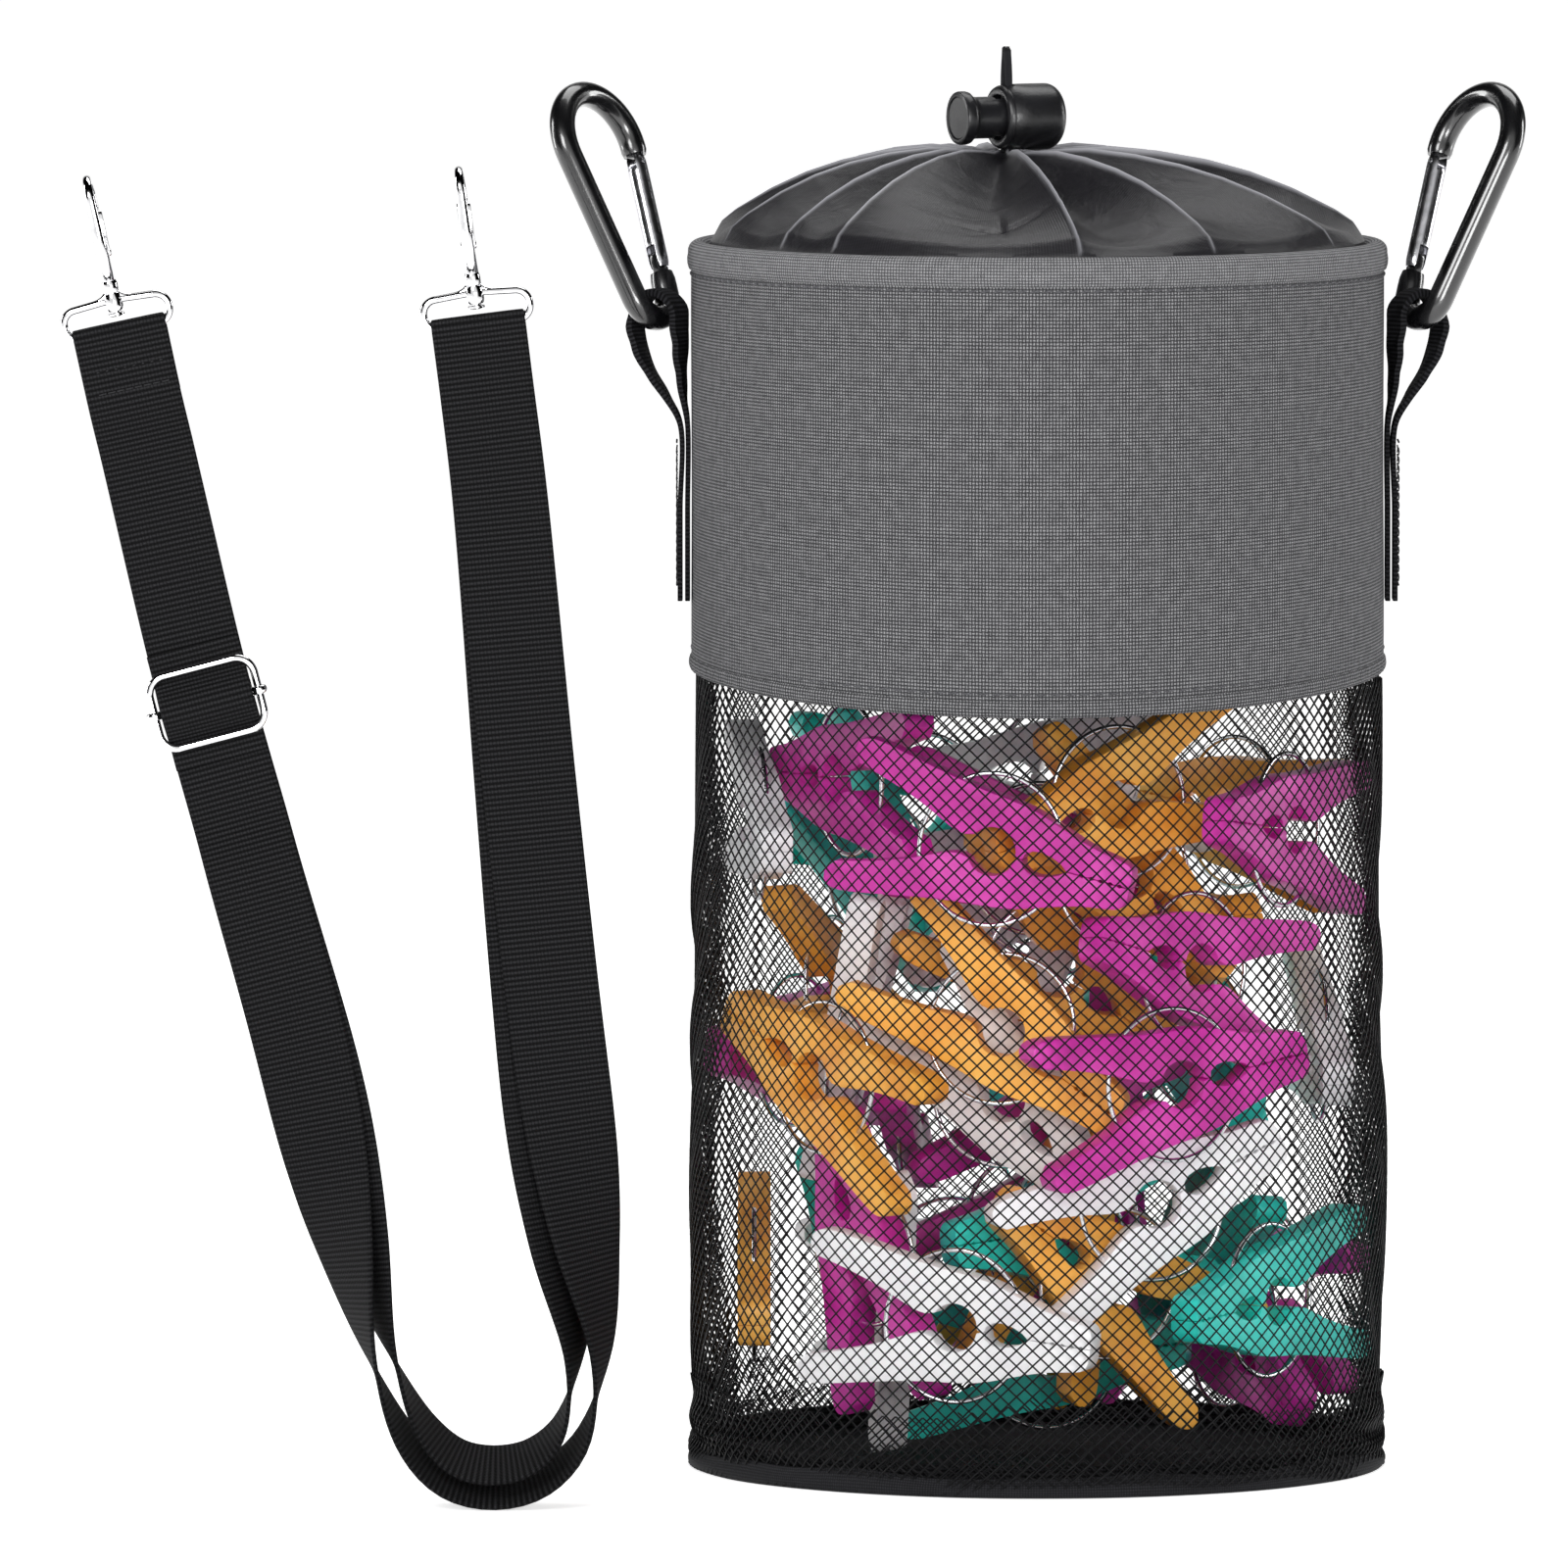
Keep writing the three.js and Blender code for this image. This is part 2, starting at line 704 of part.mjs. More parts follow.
function gateSpring() {
  const from = gateFoot + clearance;
  const to = gateSlotDepth + gateLine / 3 - cutOverrun - clearance;
  const radius = gateBore / 2 - clearance - gateSpringWire / 2;
  const spring = coil(radius, gateSpringWire, gateSpringTurns, to - from);
  return alongGate(spring.rotateY(-Math.PI / 2).translate(0, 0, from));
}

function carabiner(side) {
  const label = side < 0 ? 'left' : 'right';
  const across = new THREE.Vector3(Math.cos(carabinerTurn), -side * Math.sin(carabinerTurn), 0);
  const outward = new THREE.Vector3(side * Math.sin(carabinerTurn), Math.cos(carabinerTurn), 0);
  const up = new THREE.Vector3(0, 0, Math.cos(carabinerLean));
  up.addScaledVector(outward, Math.sin(carabinerLean));
  const group = new THREE.Group();
  group.setRotationFromMatrix(new THREE.Matrix4().makeBasis(across, up.clone().cross(across), up));
  group.position.set(side * wireOut, 0, wireHeight);
  const hingePin = alongGate(crossPin(gatePinRadius, gateDiameter));
  const latchPin = alongGate(
    crossPin(gatePinRadius, gateDiameter, latchPinPlace[1], latchPinPlace[0]),
  );
  group.add(
    piece(`${label}_carabiner_body`, handed(carabinerFrame(), side), 'blackMetal'),
    piece(`${label}_carabiner_gate`, handed(carabinerGate(), side), 'silver'),
    piece(`${label}_gate_hinge_pin`, handed(hingePin, side), 'silver'),
    piece(`${label}_gate_latch_pin`, handed(latchPin, side), 'silver'),
    piece(`${label}_gate_spring`, handed(gateSpring(), side), 'silver'),
  );
  return group;
}

// Shoulder strap: the route of its centreline from the left snap hook's ring, round the bottom
// of the U, to the right one's, in shares of the span between the rings and of their height

const strapShares = [[0, 1], [0.038, 0.946], [0.099, 0.864], [0.227, 0.697], [0.374, 0.532],
  [0.506, 0.382], [0.622, 0.223], [0.706, 0.117], [0.81, 0.045], [0.915, 0.014], [1.04, 0.005],
  [1.17, 0.014], [1.275, 0.045], [1.331, 0.117], [1.292, 0.223], [1.224, 0.382], [1.14, 0.615],
  [1.059, 0.864], [1.025, 0.946], [1, 1.006]];
const strapCurve = new THREE.CatmullRomCurve3(strapShares.map(([x, z]) => (
  new THREE.Vector3(strapSpan * x, 0, strapHang * z)
)), false, 'centripetal');
strapCurve.arcLengthDivisions = 800;
const strapLength = strapCurve.getLength();
const sliderPlace = strapLength * sliderPlaceShare;
const strapBottom = strapLength * strapBottomShare;

function strapFrame(along) {
  const within = THREE.MathUtils.clamp(along, 0, strapLength);
  const point = strapCurve.getPointAt(within / strapLength);
  const run = strapCurve.getTangentAt(within / strapLength);
  point.addScaledVector(run, along - within);
  return { point, run, inward: new THREE.Vector3(-run.z, 0, run.x) };
}

// On the legs the webbing faces the front; round the U it turns about its own centreline
function webbingPoint(along, off, across, station) {
  const { point, inward } = strapFrame(along);
  const fromBottom = Math.min(1, Math.abs(along - strapBottom) / twistReach);
  const angle = Math.PI - strapTwist * Math.cos((Math.PI / 2) * fromBottom) ** 2;
  const depth = new THREE.Vector3(0, 1, 0);
  return point
    .addScaledVector(inward, across * Math.cos(angle) - off * Math.sin(angle) + station.shift)
    .addScaledVector(depth, across * Math.sin(angle) + off * Math.cos(angle));
}

// Places along the strap for its stations, closer together where it twists
function strapStops(from, to) {
  const straightStep = webbingWidth / 1.6;
  const twistStep = webbingWidth / 4.5;
  const stops = [];
  let along = from;
  while (along < to - twistStep) {
    stops.push(along);
    const twists = Math.abs(along + straightStep / 2 - strapBottom) < twistReach + straightStep;
    along += twists ? twistStep : straightStep;
  }
  return [...stops, to];
}

function strapStations() {
  const half = webbingThickness / 2;
  const wrap = ringRadius + clearance + half;
  const sliderRadius = sliderWire / 2;
  const barWrap = sliderRadius + clearance + half;
  const crest = barWrap + webbingThickness + 2 * clearance;
  const barPitch = (sliderHeight - sliderWire) / 2;
  const layer = layerPitch / 2;
  const doubled = strapLength - sliderPlace;
  const station = (along, off, shift = 0) => (
    { along, off, ply: webbingThickness, width: webbingWidth, shift }
  );
  const run = (from, to, off, inner) => strapStops(from, to).map((along) => {
    const share = Math.max(0, (along - sliderPlace) / doubled);
    return station(along, off, inner * Math.sin(Math.PI * share) ** 2);
  });
  const settle = webbingWidth / 2;
  const endWrap = (centre, direction) => arcPoints(0, 0, wrap, Math.PI / 2, -Math.PI / 2, 6)
    .map(([a, off]) => station(centre + direction * a, off * direction));
  return [
    station(sewnTail, -layer),
    station(settle, -layer),
    ...endWrap(0, -1),
    ...run(settle, sliderPlace - barPitch - settle, layer, 0),
    station(sliderPlace - barPitch - sliderRadius, -barWrap),
    station(sliderPlace - barPitch + sliderRadius, -barWrap),
    station(sliderPlace - 2 * sliderRadius, crest),
    station(sliderPlace + 2 * sliderRadius, crest),
    station(sliderPlace + barPitch - sliderRadius, -barWrap),
    station(sliderPlace + barPitch + sliderRadius, -barWrap),
    ...run(sliderPlace + barPitch + settle, strapLength - settle, layer, 0),
    ...endWrap(strapLength, 1),
    ...run(sliderPlace + barPitch + settle, strapLength - settle, -layer, innerLayerShift).reverse(),
    station(sliderPlace + barPitch, -barWrap - layerPitch),
    ...arcPoints(sliderPlace, 0, barWrap, -Math.PI / 2, -1.5 * Math.PI, 6)
      .map(([along, off]) => station(along, off)),
  ];
}

// Moves a shape made about a bar of the strap, X along the bar and Z up the strap, to its place
function onStrap(along, upward) {
  const { point, run } = strapFrame(along);
  const up = run.clone().multiplyScalar(upward);
  const depth = new THREE.Vector3(0, 1, 0);
  const group = new THREE.Group();
  group.setRotationFromMatrix(new THREE.Matrix4().makeBasis(depth.clone().cross(up), depth, up));
  group.position.copy(point);
  return group;
}

function roundedFrame(halfWidth, bottom, top, corner) {
  const corners = [[halfWidth, top, 0], [-halfWidth, top, 1], [-halfWidth, bottom, 2],
    [halfWidth, bottom, 3]];
  return corners.flatMap(([x, z, quarter]) => {
    const from = (quarter * Math.PI) / 2;
    const centreX = x - Math.sign(x) * corner;
    const centreZ = z + (quarter < 2 ? -corner : corner);
    return arcPoints(centreX, centreZ, corner, from, from + Math.PI / 2, 3);
  }).map(([x, z]) => new THREE.Vector3(x, 0, z));
}

function slider() {
  const group = onStrap(sliderPlace, -1);
  const rail = sliderWire / 2;
  const halfWidth = webbingWidth / 2 + railGap + rail;
  const barPitch = (sliderHeight - sliderWire) / 2;
  const frame = wire(roundedFrame(halfWidth, -barPitch, barPitch, sliderCorner), rail, 8, true);
  const sleeve = rail + clearance;
  const knuckle = (x) => rod(sleeve + knuckleWall, 2 * sliderWire, 10)
    .rotateX(Math.PI / 2).translate(x, 0, 0);
  const bore = (x) => rod(sleeve, 3 * sliderWire, 10).rotateX(Math.PI / 2).translate(x, 0, 0);
  const bar = rod(rail, 2 * halfWidth, 8).rotateZ(Math.PI / 2);
  group.add(
    piece('slider_frame', frame, 'silver'),
    piece('slider_bar', cut(
      join(bar, knuckle(-halfWidth), knuckle(halfWidth)),
      bore(-halfWidth),
      bore(halfWidth),
    ), 'silver'),
  );
  return group;
}

// Snap hook: a ring through the webbing, a swivelling hook, its gate, rivet and leaf spring

const bossBottom = ringRise - bossHeight / 2;
const hookFoot = bossBottom + bossHeight + clearance;
const clawFoot = hookFoot + hookBaseHeight - cutOverrun;
const clawHalf = hookWidth / 2;
const lugTop = clawFoot + hookHeight / 3;
const lugInner = clawHalf - hookWire - 2 * clearance;
const rivetPlace = [(clawHalf + lugInner) / 2, lugTop - hookWire / 1.3];
const clawTip = clawFoot + hookHeight * 0.66;

function hookRing() {
  const halfWidth = webbingWidth / 2 + railGap + ringRadius;
  const loop = wire(roundedFrame(halfWidth, 0, ringRise, ringCorner), ringRadius, 8, true);
  const boss = rod(bossDiameter / 2, bossHeight, 12).rotateX(Math.PI / 2).translate(0, 0, ringRise);
  const hole = rod(postHole / 2, 2 * bossHeight, 12).rotateX(Math.PI / 2).translate(0, 0, ringRise);
  return cut(join(loop, boss), hole);
}

// The claw lies in the plane across the webbing, so that it is seen on edge from the front
function hookBody() {
  const headTop = bossBottom - clearance;
  const post = ring([
    [0, headTop - postHeadHeight],
    [postHeadDiameter / 2, headTop - postHeadHeight],
    [postHeadDiameter / 2, headTop],
    [postDiameter / 2, headTop],
    [postDiameter / 2, hookFoot],
    [hookBaseDiameter / 2, hookFoot],
    [hookBaseDiameter / 2, hookFoot + hookBaseHeight / 3],
    [hookBaseDiameter / 3, hookFoot + hookBaseHeight],
    [0, hookFoot + hookBaseHeight],
  ], 12);
  const inner = clawHalf - hookWire;
  const topCentre = clawFoot + hookHeight - clawHalf;
  const claw = plate([
    [-hookBaseDiameter / 3, clawFoot],
    [hookBaseDiameter / 3, clawFoot],
    [clawHalf, lugTop - hookWire],
    [clawHalf, lugTop],
    [lugInner, lugTop],
    [0, clawFoot + hookWire],
    [-inner, lugTop],
    ...arcPoints(0, topCentre, inner, Math.PI, 0, 6),
    [inner, clawTip],
    [clawHalf, clawTip],
    ...arcPoints(0, topCentre, clawHalf, 0, Math.PI, 8),
    [-clawHalf, lugTop - hookWire / 2],
  ], hookPlate);
  const hole = crossPin(rivetDiameter / 2 + clearance, hookWidth, rivetPlace[1], rivetPlace[0]);
  return join(post, cut(claw, hole).rotateZ(Math.PI / 2));
}

const hookGateWidth = hookPlate + 2 * clearance + 2 * hookGateWall;

function hookGate() {
  const inner = lugInner;
  const bottom = rivetPlace[1] - hookWire / 2;
  const top = clawTip - 2 * clearance;
  const web = lugTop + 3 * clearance;
  const bar = block(inner, clawHalf, hookGateWidth, bottom, top);
  const channel = block(
    inner - cutOverrun, clawHalf + cutOverrun, hookPlate + 2 * clearance, bottom - cutOverrun, web,
  );
  const hole = crossPin(rivetDiameter / 2 + clearance, hookWidth, rivetPlace[1], rivetPlace[0]);
  return cut(bar, channel, hole).rotateZ(Math.PI / 2);
}

function hookLeaf() {
  const back = lugInner - clearance;
  const leaf = block(back - leafThickness, back, hookPlate - clearance, lugTop, clawTip - hookWire);
  return leaf.rotateZ(Math.PI / 2);
}

function snapHook(label, along, upward) {
  const group = onStrap(along, upward);
  const rivet = crossPin(rivetDiameter / 2, hookGateWidth, rivetPlace[1], rivetPlace[0]);
  group.add(
    piece(`${label}_hook_ring`, hookRing(), 'silver'),
    piece(`${label}_hook_body`, hookBody(), 'silver'),
    piece(`${label}_hook_gate`, hookGate(), 'silver'),
    piece(`${label}_hook_rivet`, rivet.rotateZ(Math.PI / 2), 'silver'),
    piece(`${label}_hook_spring`, hookLeaf(), 'silver'),
  );
  return group;
}

// The strap stands on the floor beside the bag, so its lowest point is at height zero
function strap() {
  const group = new THREE.Group();
  const webbing = strip(strapStations(), webbingPoint);
  webbing.computeBoundingBox();
  group.add(
    piece('strap_webbing', webbing, 'webbing'),
    slider(),
    snapHook('left', 0, -1),
    snapHook('right', strapLength, 1),
  );
  const nearSide = bagRadius + strapStandoff;
  group.position.set(-nearSide - strapSpan, -strapForward, -webbing.boundingBox.min.z);
  return group;
}

// Clothes pegs. A peg is drawn shut, as its two levers about a round finger hole with a
// pear-shaped window towards the jaws. Each lies against the net, broad face outwards.

const pegTop = pegLength / 2;
const pegJaw = pegHoleRadius * 0.8;

function pegOutline() {
  const shoulder = pegShoulder / 2;
  const foot = pegHandleSpread / 2;
  const crotch = -pegHoleRadius - pegWindow / 4;
  return [
    [-pegJaw / 2, pegTop],
    [-pegJaw, pegTop - pegJaw / 2],
    [-shoulder * 0.8, pegWindow],
    [-shoulder, pegHoleRadius / 2],
    [-foot, pegJaw / 2 - pegTop],
    [pegJaw - foot, -pegTop],
    [0, crotch],
    [foot - pegJaw, -pegTop],
    [foot, pegJaw / 2 - pegTop],
    [shoulder, pegHoleRadius / 2],
    [shoulder * 0.8, pegWindow],
    [pegJaw, pegTop - pegJaw / 2],
    [pegJaw / 2, pegTop],
  ];
}

function pegGeometry() {
  const hole = arcPoints(0, pegHoleRadius / 3, pegHoleRadius, 0, -1.75 * Math.PI, 7);
  const windowFoot = pegHoleRadius * 2;
  const pear = [
    [0, windowFoot],
    [-pegJaw * 0.7, windowFoot + pegWindow / 4],
    [0, windowFoot + pegWindow],
    [pegJaw * 0.7, windowFoot + pegWindow / 4],
  ];
  return plate(pegOutline(), pegThickness, [hole, pear]);
}

// How far from the bag's axis a peg's middle plane lies when its corners reach the net
function pegDepth(share, turn) {
  const height = hemBottom - baseThickness;
  const turned = pegOutline().map(([x, z]) => [
    Math.abs(x * Math.cos(turn) + z * Math.sin(turn)),
    (z * Math.cos(turn) - x * Math.sin(turn)) / height,
  ]);
  const facet = Math.cos(Math.PI / roundSteps);
  const depths = turned.map(([reach, rise]) => {
    const within = THREE.MathUtils.clamp(share + rise, 0, 1);
    const inner = netRadius(within) * facet - netThickness - clearance;
    return Math.sqrt(inner ** 2 - reach ** 2);
  });
  return Math.min(...depths) - pegThickness / 2;
}

// Three tiers of pegs lie against the net, and a few lie further in, in the corners between
// them. Each has its look, its turns round the bag from the front, its share of the net's
// height and its turns in its own plane from jaws up.
const pegPlaceShares = [
  ['pegWhite', -0.05, 0.2, 0.27],
  ['pegTeal', 0.15, 0.22, 0.74],
  ['pegMagenta', 0.345, 0.2, 0.22],
  ['pegWhite', 0.55, 0.2, 0.77],
  ['pegOrange', 0.75, 0.22, 0.28],
  ['pegOrange', -0.135, 0.5, 0.82],
  ['pegMagenta', 0.075, 0.5, 0.22],
  ['pegWhite', 0.27, 0.52, 0.72],
  ['pegTeal', 0.46, 0.5, 0.3],
  ['pegMagenta', 0.66, 0.5, 0.24],
  ['pegMagenta', -0.03, 0.8, 0.29],
  ['pegMagenta', 0.17, 0.81, 0.77],
  ['pegOrange', 0.37, 0.8, 0.23],
  ['pegTeal', 0.57, 0.8, 0.72],
  ['pegWhite', 0.77, 0.81, 0.27],
  ['pegOrange', 0.06, 0.24, 0.85],
  ['pegTeal', 0.65, 0.24, 0.1],
  ['pegOrange', -0.03, 0.57, 0.35],
  ['pegTeal', 0.36, 0.52, 0.6],
  ['pegOrange', 0.07, 0.85, 0.7],
  ['pegWhite', 0.47, 0.85, 0.25],
  ['pegMagenta', 0.825, 0.87, 0.75],
];

const seatTries = 8;

// How far out a peg can lie: at the net, or inwards of it where an earlier peg is in the way
function seatDepth(placeAt, reach, placed) {
  const isFree = (depth) => placed.every((other) => (
    other.minGap(placeAt(depth), 2 * clearance) >= clearance
  ));
  let free = reach;
  let blocked = reach;
  while (!isFree(free)) {
    blocked = free;
    free -= pegThickness / 2;
  }
  for (let i = 0; i < seatTries && blocked > free; i += 1) {
    const middle = (free + blocked) / 2;
    if (isFree(middle)) {
      free = middle;
    } else {
      blocked = middle;
    }
  }
  return free;
}

function pegs() {
  const group = new THREE.Group();
  const height = hemBottom - baseThickness;
  const placed = [];
  pegPlaceShares.forEach(([look, turns, share, tilt], i) => {
    const turn = 2 * Math.PI * tilt;
    const around = 2 * Math.PI * turns;
    const rise = baseThickness + height * share;
    const placeAt = (depth) => (
      toSolid(pegGeometry().rotateY(turn).translate(0, -depth, rise).rotateZ(around))
    );
    const depth = seatDepth(placeAt, pegDepth(share, turn), placed);
    const holder = new THREE.Group();
    const peg = piece(`peg_${String(i + 1).padStart(2, '0')}`, pegGeometry(), look);
    peg.rotation.y = turn;
    peg.position.set(0, -depth, rise);
    holder.rotation.z = around;
    holder.add(peg);
    group.add(holder);
    placed.push(placeAt(depth));
  });
  return group;
}

const object = new THREE.Group();
object.add(
  collar(),
  netBody(),
  base(),
  closure(),
  cordLock(),
  drawcord(),
  piece('left_side_tab', tabGeometry(), 'webbing'),
  piece('right_side_tab', mirrored(tabGeometry()), 'webbing'),
  carabiner(-1),
  carabiner(1),
  strap(),
  pegs(),
);

export default object;
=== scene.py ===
import json
import math

import bmesh
import bpy
import numpy as np
from mathutils import Matrix, Vector
from mathutils.bvhtree import BVHTree


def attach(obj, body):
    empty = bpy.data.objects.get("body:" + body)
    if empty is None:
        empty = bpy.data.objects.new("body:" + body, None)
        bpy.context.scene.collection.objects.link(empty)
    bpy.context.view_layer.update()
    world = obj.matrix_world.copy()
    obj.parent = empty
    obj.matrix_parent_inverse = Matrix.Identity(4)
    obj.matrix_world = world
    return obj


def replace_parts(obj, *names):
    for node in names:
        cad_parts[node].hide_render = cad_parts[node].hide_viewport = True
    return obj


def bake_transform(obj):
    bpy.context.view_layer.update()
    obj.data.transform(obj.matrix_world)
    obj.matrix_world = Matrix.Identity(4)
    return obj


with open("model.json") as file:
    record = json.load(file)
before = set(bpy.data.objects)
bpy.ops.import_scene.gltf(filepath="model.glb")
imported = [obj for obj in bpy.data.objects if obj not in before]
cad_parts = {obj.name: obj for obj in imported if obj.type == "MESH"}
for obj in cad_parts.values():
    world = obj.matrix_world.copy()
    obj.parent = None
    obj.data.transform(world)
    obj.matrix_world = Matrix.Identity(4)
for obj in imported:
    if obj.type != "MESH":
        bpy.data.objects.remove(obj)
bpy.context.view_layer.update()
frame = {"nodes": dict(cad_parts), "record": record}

MM = 0.001
TAU = 2 * math.pi

# Sizes in millimetres, as in the CAD source
BAG_RADIUS = 88.5
RIM_HEIGHT = 314.0
HEM_BOTTOM = 204.0
HEM_FRONT_DROP = 6.3
LINING_INNER = 84.1
NET_TOP = 203.7
NET_RADIUS = 87.5
NET_BULGE = 1.2
BASE_THICKNESS = 1.8
DOME_HEIGHT = 23.5
THROAT_OFFSET = 8.0
THROAT_HEIGHT = RIM_HEIGHT + DOME_HEIGHT * 0.96
LOCK_RADIUS = 8.5
CORD_TIP = 363.0


# Camera

CAMERA_DISTANCE = 6.0
CAMERA_RISE = 4.3
CAMERA_LENS = 538.4
CAMERA_TARGET = (-0.0648, 0.0, 0.1746)


def link_new(name, data):
    made = bpy.data.objects.new(name, data)
    bpy.context.scene.collection.objects.link(made)
    return made


def make_camera():
    data = bpy.data.cameras.new("camera")
    data.sensor_width = 36.0
    data.lens = CAMERA_LENS
    data.clip_end = 100.0
    camera = link_new("camera", data)
    target = Vector(CAMERA_TARGET)
    rise = math.radians(CAMERA_RISE)
    back = Vector((0.0, -math.cos(rise), math.sin(rise)))
    camera.location = target + CAMERA_DISTANCE * back
    camera.rotation_euler = (target - camera.location).to_track_quat("-Z", "Y").to_euler()
    bpy.context.scene.camera = camera


make_camera()


# Mesh helpers

def add_mesh(name, points, faces, uvs=None, materials=()):
    """A mesh object from points in millimetres and arrays of equal-sized faces."""
    points = np.asarray(points, float).reshape(-1, 3)
    groups = [np.asarray(f, np.int32) for f in faces if len(f)]
    counts = np.concatenate([np.full(len(f), f.shape[1], np.int32) for f in groups])
    loops = np.concatenate([f.ravel() for f in groups])
    starts = np.concatenate([[0], np.cumsum(counts)[:-1]]).astype(np.int32)
    mesh = bpy.data.meshes.new(name)
    mesh.vertices.add(len(points))
    mesh.vertices.foreach_set("co", (points * MM).astype(np.float32).ravel())
    mesh.loops.add(len(loops))
    mesh.loops.foreach_set("vertex_index", loops)
    mesh.polygons.add(len(counts))
    mesh.polygons.foreach_set("loop_start", starts)
    mesh.polygons.foreach_set("use_smooth", np.full(len(counts), True))
    if uvs is not None:
        layer = mesh.uv_layers.new(name="cloth")
        flat = np.concatenate([np.asarray(u, np.float32).reshape(-1, 2) for u in uvs])
        layer.data.foreach_set("uv", flat.ravel())
    mesh.update(calc_edges=True)
    mesh.validate()
    for material in materials:
        mesh.materials.append(material)
    return link_new(name, mesh)


def edit_mesh(made, change):
    work = bmesh.new()
    work.from_mesh(made.data)
    change(work)
    work.to_mesh(made.data)
    work.free()
    return made


def face_outward(made):
    return edit_mesh(made, lambda work: bmesh.ops.recalc_face_normals(work, faces=work.faces))


def grid_arrays(points, u_values, v_values, wrap_cols=False, wrap_rows=False, offset=0):
    """Quads and loop UVs of a grid of points; u runs along columns and v along rows."""
    rows, cols = points.shape[:2]
    i, j = np.meshgrid(
        np.arange(rows if wrap_rows else rows - 1),
        np.arange(cols if wrap_cols else cols - 1),
        indexing="ij",
    )
    i, j = i.ravel(), j.ravel()

    def corner(di, dj):
        return offset + ((i + di) % rows) * cols + (j + dj) % cols

    faces = np.stack([corner(0, 0), corner(0, 1), corner(1, 1), corner(1, 0)], 1)
    u, v = np.asarray(u_values, float), np.asarray(v_values, float)
    corners = [(u[j], v[i]), (u[j + 1], v[i]), (u[j + 1], v[i + 1]), (u[j], v[i + 1])]
    return faces, np.stack([np.stack(pair, 1) for pair in corners], 1)


def run_lengths(points, wrap=False):
    line = np.asarray(points, float)
    if wrap:
        line = np.concatenate([line, line[:1]])
    steps = np.linalg.norm(np.diff(line, axis=0), axis=1)
    return np.concatenate([[0.0], np.cumsum(steps)])


def round_grid(radius, angle, height):
    """Points round the axis; the three numbers or arrays are broadcast together."""
    radius, angle, height = np.broadcast_arrays(radius, angle, height)
    return np.stack([radius * np.cos(angle), radius * np.sin(angle), height], -1)


def lathe(name, profile, steps, material, move=None, closed=True):
    """A surface of revolution from [radius, height] points; move may shift its grid of points."""
    profile = np.asarray(profile, float)
    angle = np.arange(steps) * TAU / steps
    grid = round_grid(profile[:, :1], angle, profile[:, 1:2])
    if move is not None:
        grid = move(grid, angle, profile)
    v = run_lengths(profile, closed)
    u = np.append(angle, TAU) * profile[:, 0].max()
    faces, uv = grid_arrays(grid, u, v, True, closed)
    return face_outward(add_mesh(name, grid, [faces], [uv], materials=[material]))


def smooth_line(points, count, closed=False):
    """A Catmull-Rom line through points, sampled evenly."""
    pts = np.asarray(points, float)
    if closed:
        pts = np.concatenate([pts[-1:], pts, pts[:2]])
    else:
        pts = np.concatenate([2 * pts[:1] - pts[1:2], pts, 2 * pts[-1:] - pts[-2:-1]])
    dense = []
    for k in range(1, len(pts) - 2):
        p0, p1, p2, p3 = pts[k - 1], pts[k], pts[k + 1], pts[k + 2]
        d0, d1, d2 = (
            max(np.linalg.norm(b - a), 1e-6) ** 0.5 for a, b in ((p0, p1), (p1, p2), (p2, p3))
        )
        m1 = ((p1 - p0) / d0 - (p2 - p0) / (d0 + d1) + (p2 - p1) / d1) * d1
        m2 = ((p2 - p1) / d1 - (p3 - p1) / (d1 + d2) + (p3 - p2) / d2) * d1
        t = np.linspace(0, 1, 40, endpoint=False)[:, None]
        dense.append(
            (2 * t**3 - 3 * t**2 + 1) * p1 + (t**3 - 2 * t**2 + t) * m1
            + (-2 * t**3 + 3 * t**2) * p2 + (t**3 - t**2) * m2
        )
    dense = np.concatenate(dense + [pts[-2:-1]])
    lengths = run_lengths(dense)
    wanted = np.linspace(0, lengths[-1], count + 1 if closed else count)
    line = np.stack([np.interp(wanted, lengths, dense[:, a]) for a in range(3)], 1)
    return line[:-1] if closed else line


def carried_frames(line, closed=False, start=None):
    """Unit vectors side and other at each point, carried along the line without twist."""
    count = len(line)
    before = np.roll(line, 1, 0) if closed else np.concatenate([line[:1], line[:-1]])
    after = np.roll(line, -1, 0) if closed else np.concatenate([line[1:], line[-1:]])
    along = after - before
    along /= np.linalg.norm(along, axis=1)[:, None]
    side = np.array(start if start is not None else [0.0, 0.0, 1.0], float)
    if start is None and abs(along[0][2]) > 0.9:
        side = np.array([1.0, 0.0, 0.0])
    sides = np.zeros((count, 3))
    for i in range(count):
        side = side - along[i] * side.dot(along[i])
        side /= np.linalg.norm(side)
        sides[i] = side
    return along, sides, np.cross(along, sides)


